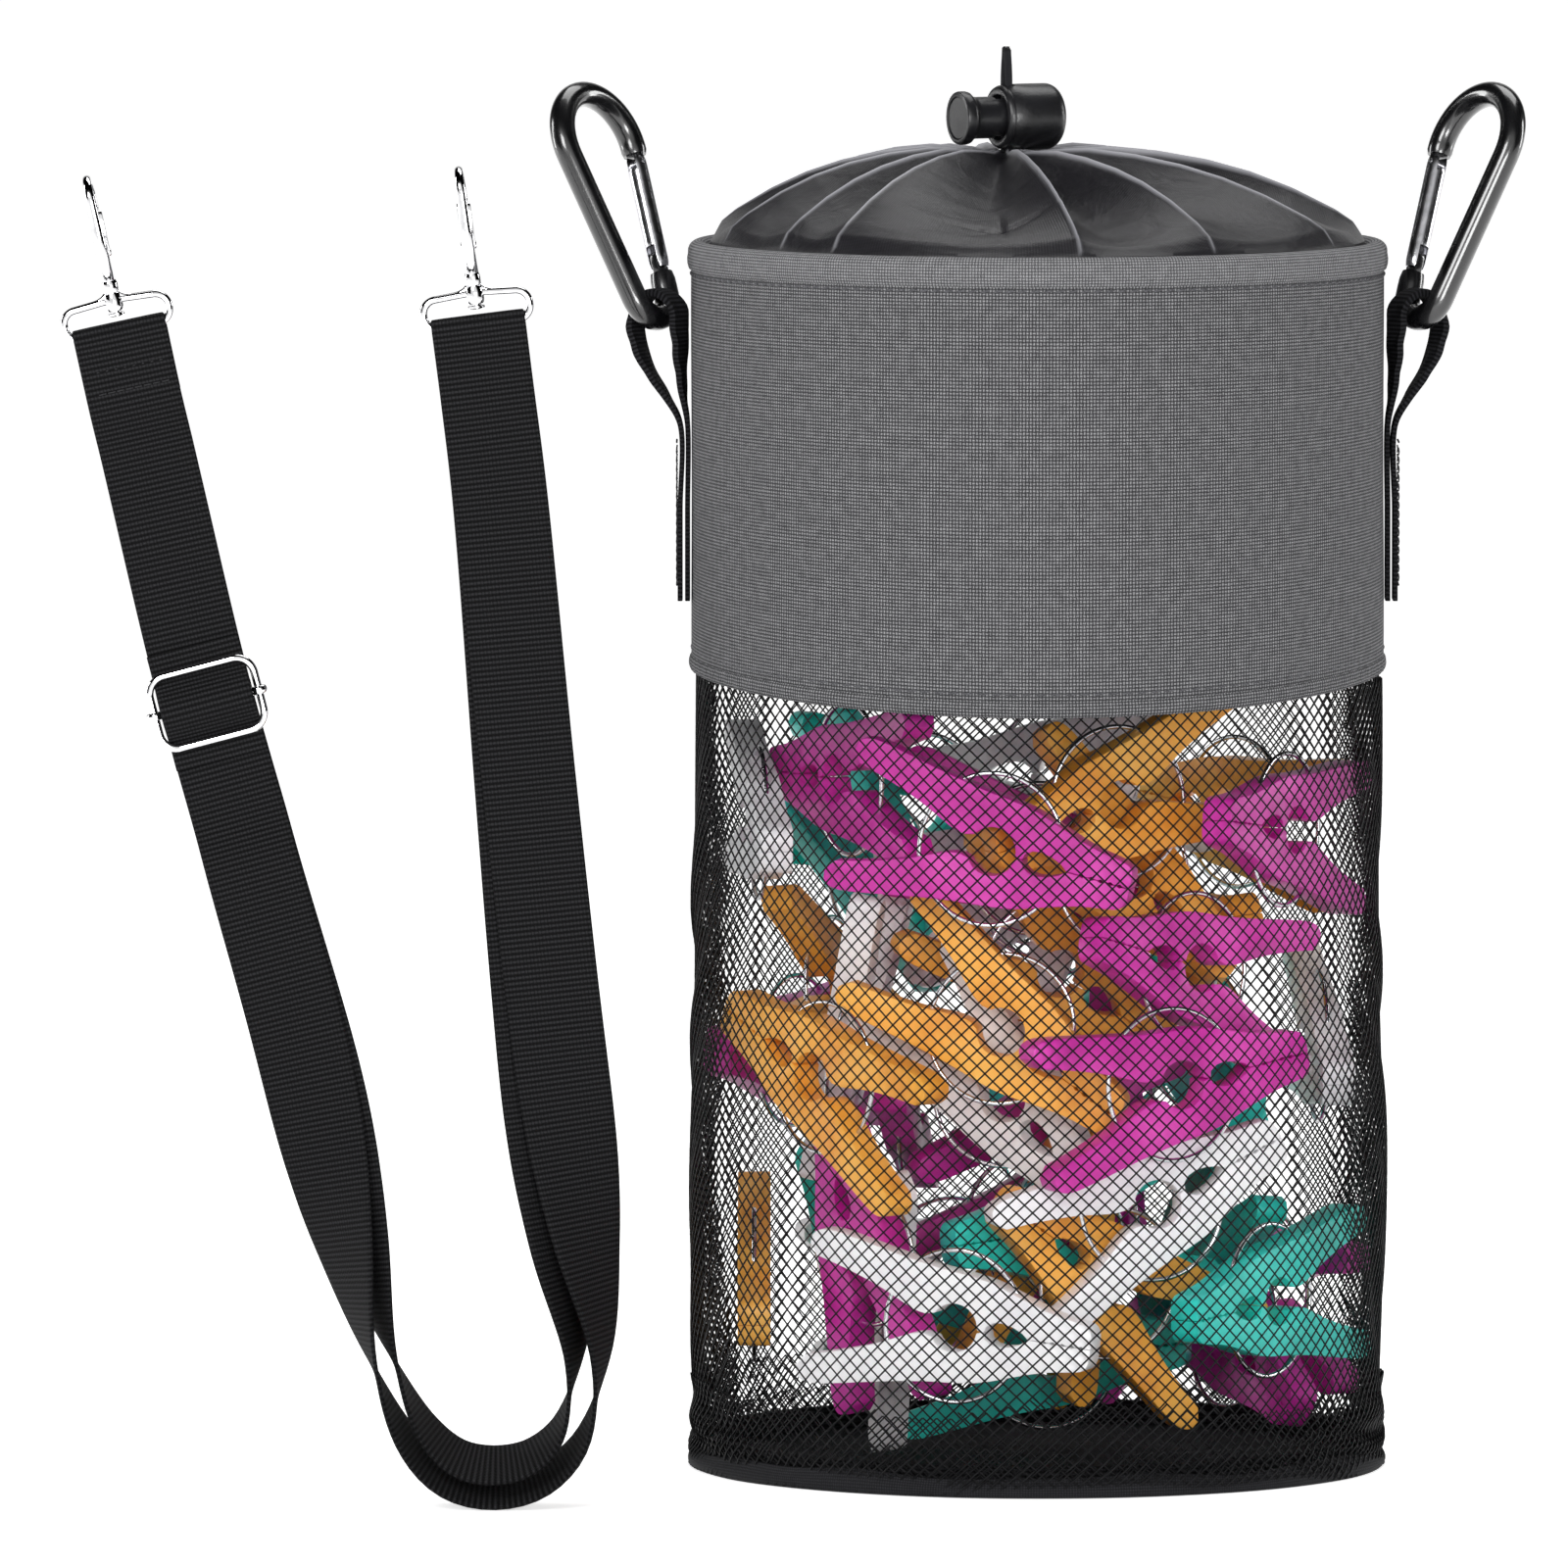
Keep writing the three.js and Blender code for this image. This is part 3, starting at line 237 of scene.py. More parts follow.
def tube_arrays(line, radius, sides=16, closed=False, round_ends=True, flatten=1.0,
                start=None, offset=0):
    """Points, faces and UVs of a round wire; radius is one number or one per point."""
    line = np.asarray(line, float)
    radii = np.broadcast_to(np.asarray(radius, float), (len(line),)).copy()
    along, side, other = carried_frames(line, closed, start)
    if round_ends and not closed:
        quarter = np.linspace(0, 0.5 * math.pi, 6)[1:]
        head = [(-radii[0] * math.sin(q), radii[0] * max(math.cos(q), 0.04)) for q in quarter]
        tail = [(radii[-1] * math.sin(q), radii[-1] * max(math.cos(q), 0.04)) for q in quarter]
        first = [line[0] + along[0] * a for a, _ in reversed(head)]
        last = [line[-1] + along[-1] * a for a, _ in tail]
        line = np.concatenate([first, line, last])
        radii = np.concatenate([[r for _, r in reversed(head)], radii, [r for _, r in tail]])
        pad = len(quarter)
        side = np.concatenate([np.repeat(side[:1], pad, 0), side, np.repeat(side[-1:], pad, 0)])
        other = np.concatenate([np.repeat(other[:1], pad, 0), other, np.repeat(other[-1:], pad, 0)])
    angle = np.arange(sides) * TAU / sides
    grid = line[:, None] + radii[:, None, None] * (
        side[:, None] * np.cos(angle)[None, :, None]
        + flatten * other[:, None] * np.sin(angle)[None, :, None]
    )
    u = np.arange(sides + 1) * TAU / sides * radii.max()
    quads, uv = grid_arrays(grid, u, run_lengths(line, closed), True, closed, offset)
    points = grid.reshape(-1, 3)
    faces, uvs = [quads], [uv]
    if not closed:
        last = offset + (len(line) - 1) * sides
        caps = np.array([
            [offset + k for k in reversed(range(sides))],
            [last + k for k in range(sides)],
        ])
        faces.append(caps)
        uvs.append(np.zeros((2, sides, 2)))
    return points, faces, uvs


class Wires:
    """Wires gathered into one mesh."""

    def __init__(self):
        self.points, self.faces, self.uvs, self.count = [], [], [], 0

    def add(self, line, radius, **options):
        points, faces, uvs = tube_arrays(line, radius, offset=self.count, **options)
        self.points.append(points)
        self.faces += faces
        self.uvs += uvs
        self.count += len(points)

    def mesh(self, name, material):
        points = np.concatenate(self.points)
        return face_outward(add_mesh(name, points, self.faces, self.uvs, materials=[material]))


def tubes(name, lines, radius, material, **options):
    """Several wires of one girth as one object."""
    wires = Wires()
    for line in lines:
        wires.add(line, radius, **options)
    return wires.mesh(name, material)


def tube(name, line, radius, material, **options):
    return tubes(name, [line], radius, material, **options)


def placed(made, origin, x_axis, y_axis, z_axis, mirror=False):
    """Puts a mesh made in a local frame, in millimetres, to its place in the row frame."""
    turn = Matrix((x_axis, y_axis, z_axis)).transposed().to_4x4()
    if mirror:
        turn = turn @ Matrix.Diagonal((-1.0, 1.0, 1.0, 1.0))
    made.data.transform(Matrix.Translation(Vector(origin) * MM) @ turn)
    if mirror:
        made.data.flip_normals()
    made.data.update()
    return made


def apply_modifiers(made):
    graph = bpy.context.evaluated_depsgraph_get()
    mesh = bpy.data.meshes.new_from_object(made.evaluated_get(graph))
    made.modifiers.clear()
    old = made.data
    made.data = mesh
    bpy.data.meshes.remove(old)
    return made


def cut_with(made, *cutters):
    for cutter in cutters:
        modifier = made.modifiers.new("cut", "BOOLEAN")
        modifier.operation = "DIFFERENCE"
        modifier.solver = "EXACT"
        modifier.object = cutter
    apply_modifiers(made)
    for cutter in cutters:
        bpy.data.objects.remove(cutter)
    return made


def bevelled(made, width, segments=2, angle=35.0):
    modifier = made.modifiers.new("bevel", "BEVEL")
    modifier.width = width * MM
    modifier.segments = segments
    modifier.limit_method = "ANGLE"
    modifier.angle_limit = math.radians(angle)
    modifier.harden_normals = False
    return apply_modifiers(made)


def shade_by_angle(made, angle=40.0):
    """Smooth shading, with the edges that bend more than the angle kept sharp."""
    limit = math.radians(angle)

    def mark(work):
        for face in work.faces:
            face.smooth = True
        for edge in work.edges:
            if len(edge.link_faces) == 2 and edge.calc_face_angle(0.0) > limit:
                edge.smooth = False

    return edit_mesh(made, mark)


def plate(name, outline, thickness, material, bevel=0.3):
    """A plate whose outline lies in XZ, centred on y = 0, with rounded edges."""
    count = len(outline)
    half = thickness / 2
    points = [(x, -half, z) for x, z in outline] + [(x, half, z) for x, z in outline]
    made = link_new(name, bpy.data.meshes.new(name))
    sides = [(i, (i + 1) % count, count + (i + 1) % count, count + i) for i in range(count)]
    faces = [tuple(range(count)), tuple(reversed(range(count, 2 * count)))] + sides
    made.data.from_pydata([[c * MM for c in p] for p in points], [], faces)
    made.data.materials.append(material)
    face_outward(made)
    if bevel:
        bevelled(made, bevel)
        shade_by_angle(made)
    return made


def arc(centre_x, centre_z, radius, start, end, steps):
    return [
        (centre_x + radius * math.cos(a), centre_z + radius * math.sin(a))
        for a in np.linspace(start, end, steps + 1)
    ]


def rounded(outline, cuts=2, share=0.22):
    """The outline with its corners cut round."""
    pts = np.asarray(outline, float)
    for _ in range(cuts):
        after = np.roll(pts, -1, 0)
        pts = np.stack([pts + share * (after - pts), after - share * (after - pts)], 1)
        pts = pts.reshape(-1, 2)
    return [tuple(p) for p in pts]


# Materials

def linear(colour):
    """Linear RGBA from an sRGB colour written as #rrggbb."""
    parts = [int(colour[k:k + 2], 16) / 255 for k in (1, 3, 5)]
    return [c / 12.92 if c <= 0.04045 else ((c + 0.055) / 1.055) ** 2.4 for c in parts] + [1.0]


class Nodes:
    """A node tree, and short ways to add nodes to it."""

    def __init__(self, tree):
        self.tree = tree

    def node(self, kind, links=(), **settings):
        made = self.tree.nodes.new(kind)
        for key, value in settings.items():
            setattr(made, key, value)
        for socket, value in dict(links).items():
            self.put(made.inputs[socket], value)
        return made

    def put(self, socket, value):
        if isinstance(value, bpy.types.NodeSocket):
            self.tree.links.new(value, socket)
        else:
            socket.default_value = value

    def math(self, operation, a, b=0.0, c=0.0):
        return self.node("ShaderNodeMath", {0: a, 1: b, 2: c}, operation=operation).outputs[0]

    def mix(self, factor, a, b):
        made = self.node("ShaderNodeMix", data_type="RGBA")
        self.put(made.inputs["Factor"], factor)
        self.put(made.inputs[6], a)
        self.put(made.inputs[7], b)
        return made.outputs[2]

    def ramp(self, factor, stops):
        made = self.node("ShaderNodeValToRGB", {0: factor})
        ramp = made.color_ramp
        while len(ramp.elements) < len(stops):
            ramp.elements.new(0.5)
        for element, (place, colour) in zip(ramp.elements, stops):
            element.position = place
            element.color = linear(colour) if isinstance(colour, str) else (colour,) * 3 + (1.0,)
        return made.outputs[0]


class Shade(Nodes):
    """A material with a Principled shader."""

    def __init__(self, name, **settings):
        self.material = bpy.data.materials.new(name)
        self.material.use_nodes = True
        super().__init__(self.material.node_tree)
        self.shader = self.tree.nodes["Principled BSDF"]
        for socket, value in settings.items():
            self.shader.inputs[socket.replace("_", " ")].default_value = value

    def noise(self, scale, detail=3.0, rough=0.5, space=None, distortion=0.0):
        vector = space or self.node("ShaderNodeTexCoord").outputs["Object"]
        made = self.node("ShaderNodeTexNoise", {
            "Vector": vector, "Scale": scale, "Detail": detail, "Roughness": rough,
            "Distortion": distortion,
        })
        return made.outputs["Fac"]

    def cloth_uv(self):
        """U and V of the cloth, in millimetres."""
        uv = self.node("ShaderNodeUVMap", uv_map="cloth").outputs[0]
        parts = self.node("ShaderNodeSeparateXYZ", {0: uv})
        return uv, parts.outputs[0], parts.outputs[1]

    def weave(self, u, v, pitch_u, pitch_v, depth=0.4):
        """Height of a plain weave, 0 to 1."""
        a = self.math("SINE", self.math("MULTIPLY", u, math.pi / pitch_u))
        b = self.math("SINE", self.math("MULTIPLY", v, math.pi / pitch_v))
        over = self.math("MULTIPLY", a, b)
        warp = self.math("SQRT", self.math("ABSOLUTE", a))
        weft = self.math("SQRT", self.math("ABSOLUTE", b))
        lift = self.math("MULTIPLY_ADD", over, depth, 1 - depth)
        drop = self.math("MULTIPLY_ADD", over, -depth, 1 - depth)
        return self.math(
            "MAXIMUM", self.math("MULTIPLY", warp, lift), self.math("MULTIPLY", weft, drop)
        )

    def bump(self, height, distance, strength=1.0, under=None):
        links = {"Height": height, "Distance": distance * MM, "Strength": strength}
        if under is not None:
            links["Normal"] = under
        return self.node("ShaderNodeBump", links).outputs[0]

    def finish(self, colour, roughness, normal):
        self.put(self.shader.inputs["Base Color"], colour)
        if roughness is not None:
            self.put(self.shader.inputs["Roughness"], roughness)
        self.put(self.shader.inputs["Normal"], normal)
        return self.material


def woven(name, dark, mid, light, pitch, roughness=0.85, relief=0.18, shine=0.15):
    """Plain-woven cloth: light thread tops, dark pits and a slow change of tone."""
    shade = Shade(name, Roughness=roughness, Specular_IOR_Level=shine)
    uv, u, v = shade.cloth_uv()
    height = shade.weave(u, v, *pitch)
    slub = shade.noise(0.35, 2.0, 0.5, uv)
    fine = shade.noise(2.2, 2.0, 0.6, uv)
    tone = shade.math("ADD", height, shade.math("MULTIPLY_ADD", fine, 0.5, -0.25))
    tone = shade.math("ADD", tone, shade.math("MULTIPLY_ADD", slub, 0.24, -0.12))
    colour = shade.ramp(tone, [(0.38, dark), (0.72, mid), (0.98, light)])
    return shade.finish(colour, None, shade.bump(tone, relief))


def ribbed_webbing(name, dark, mid, light, pitch, roughness=0.8, relief=0.25):
    """Webbing: ribs across its width, each of small twisted threads."""
    shade = Shade(name, Roughness=roughness, Specular_IOR_Level=0.1)
    uv, u, v = shade.cloth_uv()
    height = shade.weave(u, v, *pitch, 0.3)
    wave = shade.math("SINE", shade.math("MULTIPLY", v, math.pi / pitch[1]))
    rib = shade.math("ABSOLUTE", wave)
    fine = shade.noise(3.0, 2.0, 0.6, uv)
    tone = shade.math("MULTIPLY_ADD", rib, 0.45, shade.math("MULTIPLY", height, 0.55))
    tone = shade.math("ADD", tone, shade.math("MULTIPLY_ADD", fine, 0.4, -0.2))
    colour = shade.ramp(tone, [(0.3, dark), (0.7, mid), (1.0, light)])
    return shade.finish(colour, None, shade.bump(tone, relief))


def satin_cloth():
    shade = Shade("black_satin", Roughness=0.38, Specular_IOR_Level=0.42)
    uv, u, v = shade.cloth_uv()
    height = shade.weave(u, v, 0.42, 0.42, 0.5)
    wrinkle = shade.noise(0.09, 3.0, 0.55, uv, 0.6)
    fine = shade.noise(0.5, 2.0, 0.5, uv)
    colour = shade.ramp(
        shade.math("MULTIPLY_ADD", height, 0.6, shade.math("MULTIPLY", fine, 0.4)),
        [(0.25, "#0c0b0e"), (0.6, "#1b1a1e"), (0.95, "#29282d")],
    )
    # Painted highlight: a light grey mixed in along each fold ridge, standing in for the light that
    # the rolled edge of the fold catches
    edge = shade.node("ShaderNodeAttribute", attribute_name="painted_ridge_highlight").outputs["Fac"]
    colour = shade.mix(edge, colour, linear("#b0b0b6"))
    normal = shade.bump(wrinkle, 0.9, 0.5)
    return shade.finish(colour, None, shade.bump(height, 0.05, 1.0, normal))


def grained(name, colours, scale, detail, relief, gloss=None, rough=0.5, **settings):
    """A fine grain between two colours; gloss is the lowest roughness and its spread."""
    shade = Shade(name, **settings)
    grain = shade.noise(scale, detail, rough)
    colour = shade.ramp(grain, [(0.3, colours[0]), (0.7, colours[1])])
    roughness = shade.math("MULTIPLY_ADD", grain, gloss[1], gloss[0]) if gloss else None
    return shade.finish(colour, roughness, shade.bump(grain, relief))


def plastic(name, light, mid, shadow):
    """Moulded plastic with a faint grain and slightly uneven gloss."""
    shade = Shade(name, Specular_IOR_Level=0.5)
    cloud = shade.noise(60.0, 3.0)
    grain = shade.noise(900.0, 2.0)
    colour = shade.ramp(cloud, [(0.3, shadow), (0.5, mid), (0.72, light)])
    gloss = shade.math("MULTIPLY_ADD", cloud, 0.22, 0.27)
    return shade.finish(colour, gloss, shade.bump(grain, 0.03))


def black_plastic():
    shade = Shade("black_plastic", Specular_IOR_Level=0.55)
    grain = shade.noise(1400.0, 3.0)
    cloud = shade.noise(90.0, 2.0)
    colour = shade.ramp(cloud, [(0.3, "#0e0e10"), (0.7, "#1a1a1d")])
    gloss = shade.math("MULTIPLY_ADD", grain, 0.2, 0.24)
    return shade.finish(colour, gloss, shade.bump(grain, 0.04))


def metal(name, colours, gloss):
    return grained(name, colours, 350.0, 3.0, 0.01, gloss, 0.6, Metallic=1.0)


def braid():
    shade = Shade("elastic_braid", Roughness=0.75, Specular_IOR_Level=0.2)
    _, u, v = shade.cloth_uv()
    left = shade.math("ADD", u, v)
    right = shade.math("SUBTRACT", u, v)
    height = shade.weave(left, right, 0.55, 0.55, 0.35)
    colour = shade.ramp(height, [(0.35, "#08080a"), (0.9, "#26262a")])
    return shade.finish(colour, None, shade.bump(height, 0.15))


def thread(name, dark, light):
    return grained(name, (dark, light), 1500.0, 2.0, 0.05, Roughness=0.8)


GREY_CLOTH = woven("grey_cloth", "#2c2c2e", "#58585a", "#949496", (0.85, 0.85))
# Painted light: the rim roll's cloth is the collar cloth made lighter, standing in for the light on
# the roll's upward-facing top
LIT_RIM_CLOTH = woven("rim_cloth_painted_light", "#414143", "#6d6d6f", "#9b9b9d", (0.8, 0.8))
LINING_CLOTH = woven("lining_cloth", "#161618", "#2a2a2d", "#38383c", (0.6, 0.6), 0.7, 0.08)
BASE_CLOTH = woven("base_cloth", "#0c0c0e", "#1a1a1d", "#29292c", (0.7, 0.7), 0.75, 0.1)
SATIN = satin_cloth()
NET_CORD = grained("net_cord", ("#060607", "#161618"), 700.0, 2.0, 0.05, Roughness=0.6,
                   Specular_IOR_Level=0.15)
WEBBING = ribbed_webbing("black_webbing", "#040405", "#121213", "#2b2b2d", (0.9, 1.35))
TAB_WEBBING = ribbed_webbing("tab_webbing", "#040405", "#111113", "#27272a", (0.8, 1.1))
BRAID = braid()
BLACK_PLASTIC = black_plastic()
ENAMEL = grained("black_enamel", ("#060607", "#0d0d0f"), 160.0, 2.0, 0.01, (0.2, 0.12),
                 Specular_IOR_Level=0.6, Coat_Weight=0.8, Coat_Roughness=0.06)
CHROME = metal("bright_chrome", ("#dededf", "#f4f4f6"), (0.04, 0.04))
NICKEL = metal("brushed_nickel", ("#c4c4c8", "#e2e2e6"), (0.14, 0.12))
STEEL = metal("spring_wire", ("#c9c9cc", "#e8e8ec"), (0.18, 0.08))
GREY_THREAD = thread("grey_thread", "#37373a", "#5c5c60")
BLACK_THREAD = thread("black_thread", "#0a0a0c", "#1f1f22")
BOARD = grained("collar_board_grain", ("#2e2e30", "#434345"), 500.0, 3.0, 0.05, Roughness=0.9)
PEG_LOOKS = {
    "magenta": plastic("magenta_plastic", "#e24fbb", "#cf2ea6", "#b41c8e"),
    "teal": plastic("teal_plastic", "#3ee0d2", "#2bd0c2", "#1bb0a3"),
    "orange": plastic("orange_plastic", "#f9bf5c", "#f5ae44", "#e2912c"),
    "white": plastic("white_plastic", "#fdfcfd", "#f9f8fa", "#f0eef2"),
}


# Collar

def ripple(angle, height, seed, size):
    """Slow unevenness of cloth, from a few waves round the bag and up it."""
    state = np.random.default_rng(seed)
    total = np.zeros(np.broadcast(angle, height).shape)
    for _ in range(9):
        turns = state.integers(2, 17)
        rise = state.uniform(-0.09, 0.09)
        total += np.sin(turns * angle + rise * height + state.uniform(0, TAU)) / turns**0.5
    return size * total / 2.4


def moved_out(grid, by):
    radius = np.hypot(grid[..., 0], grid[..., 1])
    share = (radius + by) / radius
    grid[..., 0] *= share
    grid[..., 1] *= share
    return grid


def stitches(name, count, radius, height, length, thick, material, tilt=0.0, wander=None,
             drop=None):
    """A row of sewn stitches round the bag."""
    ring_points = 6
    points, quads, offset = [], [], 0
    for k in range(count):
        middle = TAU * (k + 0.5) / count
        span = length / radius
        out = radius + (wander(middle) if wander else 0.0)
        for a in np.linspace(-0.5, 0.5, 5):
            angle = middle + a * span
            swell = thick * math.sqrt(max(0.0, 1 - (1.92 * a) ** 2))
            lift = tilt * a - (drop(angle) if drop else 0.0)
            for s in range(ring_points):
                turn = TAU * s / ring_points
                r = out + 0.75 * swell * math.cos(turn)
                points.append((r * math.cos(angle), r * math.sin(angle),
                               height + lift + swell * math.sin(turn)))
        for i in range(4):
            for s in range(ring_points):
                t = (s + 1) % ring_points
                row = offset + i * ring_points
                quads.append((row + s, row + t, row + ring_points + t, row + ring_points + s))
        offset += 5 * ring_points
    return add_mesh(name, points, [np.array(quads)], materials=[material])


def hem_drop(angle):
    """How much lower the collar's lower edge hangs at the front of the bag."""
    return HEM_FRONT_DROP * np.clip(-np.sin(angle), 0, 1) ** 1.5


def collar_bulge(angle, height):
    share = np.clip((height - HEM_BOTTOM) / (RIM_HEIGHT - HEM_BOTTOM), 0, 1)
    return ripple(angle, height, 3, 0.28) * np.sin(math.pi * share) ** 0.5


def build_collar():
    rows = np.linspace(HEM_BOTTOM + 3.4, RIM_HEIGHT - 6.0, 56)
    profile = [(BAG_RADIUS, z) for z in rows] + [(BAG_RADIUS - 1.1, z) for z in rows[::-1]]

    def move(grid, angle, _profile):
        share = np.clip((RIM_HEIGHT - 12 - grid[..., 2]) / (RIM_HEIGHT - 12 - HEM_BOTTOM), 0, 1)
        grid = moved_out(grid, collar_bulge(angle[None, :], grid[..., 2]))
        grid[..., 2] -= share * hem_drop(angle)[None, :]
        return grid

    cloth = lathe("collar_cloth", profile, 256, GREY_CLOTH, move)
    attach(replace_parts(cloth, "collar_outer_panel"), "bag")

    half = (BAG_RADIUS + 0.8 - LINING_INNER) / 2
    middle, springing = LINING_INNER + half, RIM_HEIGHT - half
    crown = [
        (middle + half * math.cos(a), springing + half * math.sin(a))
        for a in np.linspace(-0.15, math.pi + 0.15, 22)
    ]
    bottom = RIM_HEIGHT - 7.5
    rim_profile = [
        (LINING_INNER, bottom + 0.6), (middle, bottom + 0.2), (BAG_RADIUS - 0.1, bottom),
        (BAG_RADIUS + 0.45, bottom + 0.35), (BAG_RADIUS + 0.85, bottom + 1.6),
        (BAG_RADIUS + 0.98, bottom + 3.0), *crown,
    ]

    def rim_move(grid, angle, _profile):
        low_share = np.clip((RIM_HEIGHT - grid[..., 2]) / 7.5, 0, 1)
        pucker = 0.16 * np.sin(132 * angle)[None, :] * low_share**2
        return moved_out(grid, pucker + ripple(angle[None, :], 0 * grid[..., 2], 5, 0.18))

    # The rim roll gets the lighter cloth, with painted light for its upward-facing top
    rim = lathe("rim_roll", rim_profile, 528, LIT_RIM_CLOTH, rim_move)
    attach(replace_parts(rim, "rim_piping"), "bag")
    sewn = stitches("rim_stitches", 176, BAG_RADIUS + 0.12, bottom - 1.0, 2.5, 0.32, GREY_THREAD,
                    0.5, lambda a: float(collar_bulge(a, bottom - 1.0)))
    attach(sewn, "bag")

    hem_profile = [
        (BAG_RADIUS - 0.6 + 1.15 * math.sin(a), HEM_BOTTOM + 2.25 - 2.25 * math.cos(a))
        for a in np.linspace(0.1, math.pi - 0.1, 14)
    ] + [(LINING_INNER, HEM_BOTTOM + 4.3), (LINING_INNER, HEM_BOTTOM + 0.2)]

    def hem_move(grid, angle, _profile):
        pucker = 0.14 * np.sin(110 * angle)[None, :] + 0 * grid[..., 2]
        grid = moved_out(grid, pucker + ripple(angle[None, :], 0 * grid[..., 2], 6, 0.15))
        grid[..., 2] -= hem_drop(angle)[None, :]
        return grid

    hem = lathe("hem_roll", hem_profile, 440, GREY_CLOTH, hem_move)
    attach(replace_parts(hem, "collar_hem_binding"), "bag")
    seam = HEM_BOTTOM + 6.0
    row = stitches("hem_stitches", 150, BAG_RADIUS + 0.05, seam, 2.7, 0.27, GREY_THREAD, 0.2,
                   lambda a: float(collar_bulge(a, seam)), lambda a: float(hem_drop(a)))
    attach(row, "bag")

    lining_rows = np.linspace(HEM_BOTTOM + 4.8, RIM_HEIGHT - 7.8, 20)
    lining_profile = [(LINING_INNER + 0.7, z) for z in lining_rows]
    lining_profile += [(LINING_INNER + 0.05, z) for z in lining_rows[::-1]]

    def lining_move(grid, angle, _profile):
        return moved_out(grid, -0.25 - ripple(angle[None, :], grid[..., 2], 8, 0.2))

    lining = lathe("collar_lining_cloth", lining_profile, 160, LINING_CLOTH, lining_move)
    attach(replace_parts(lining, "collar_lining"), "bag")
    stiffener = frame["nodes"]["collar_stiffener"].data.materials
    stiffener.clear()
    stiffener.append(BOARD)


# Net and base

NET_CELLS = 136
NET_CELL_HEIGHT = 3.9
NET_CORD_THICK = 0.5
TURNED_UP = 21.0
HEM_UP = 11.5


def net_bulge(angle, height):
    """How far the net stands out of a plain cylinder where pegs press it and it sags."""
    share = np.clip(height / NET_TOP, 0, 1)
    swell = NET_BULGE * np.sin(math.pi * np.minimum(1, share * 1.5)) ** 2
    heap = np.sin(math.pi * np.minimum(1, share * 1.3)) ** 0.7
    press = np.maximum(0, ripple(angle, height, 21, 1.3)) * heap
    loose = 0.5 + 0.5 * np.sin(3 * angle + 0.02 * height + 1.0)
    return swell + press + 0.5 * loose * np.sin(math.pi * share)


def net_strands(low, high, cells, cell_height, radius_at, thick, phase=0.0, keep=None):
    """Two families of cords that cross in diamonds, as lists of three-sided tubes."""
    steps = int(round(2 * (high - low) / cell_height))
    heights = np.linspace(low, high, steps + 1)
    turn_per_step = math.pi / cells
    sides = 3
    points, faces, offset = [], [], 0
    for hand in (-1, 1):
        starts = TAU * (np.arange(cells) + phase) / cells
        angle = starts[:, None] + hand * turn_per_step * np.arange(steps + 1)[None, :]
        radius = radius_at(angle, heights[None, :]) + hand * thick * 0.3
        centre = round_grid(radius, angle, heights)
        outward = round_grid(1.0, angle, 0.0)
        around = np.cross([0, 0, 1], outward)
        slope = hand * turn_per_step * NET_RADIUS / (heights[1] - heights[0])
        across = around - np.array([0, 0, 1]) * slope
        across /= np.linalg.norm(across, axis=2)[..., None]
        corners = [
            centre + thick / 2 * (outward * math.cos(t) + across * math.sin(t))
            for t in TAU * np.arange(sides) / sides + math.pi
        ]
        points.append(np.stack(corners, 2).reshape(-1, 3))
        strand = np.arange(cells)[:, None, None]
        step = np.arange(steps)[None, :, None]
        side = np.arange(sides)[None, None, :]
        base_index = offset + (strand * (steps + 1) + step) * sides
        beside = (side + 1) % sides
        quad = base_index[..., None] + np.stack(
            [side, beside, sides + beside, sides + side], 3
        )
        if keep is not None:
            quad = quad[keep(angle[:, :-1], heights[None, :-1])]
        faces.append(quad.reshape(-1, 4))
        offset += len(points[-1])
    return np.concatenate(points), faces


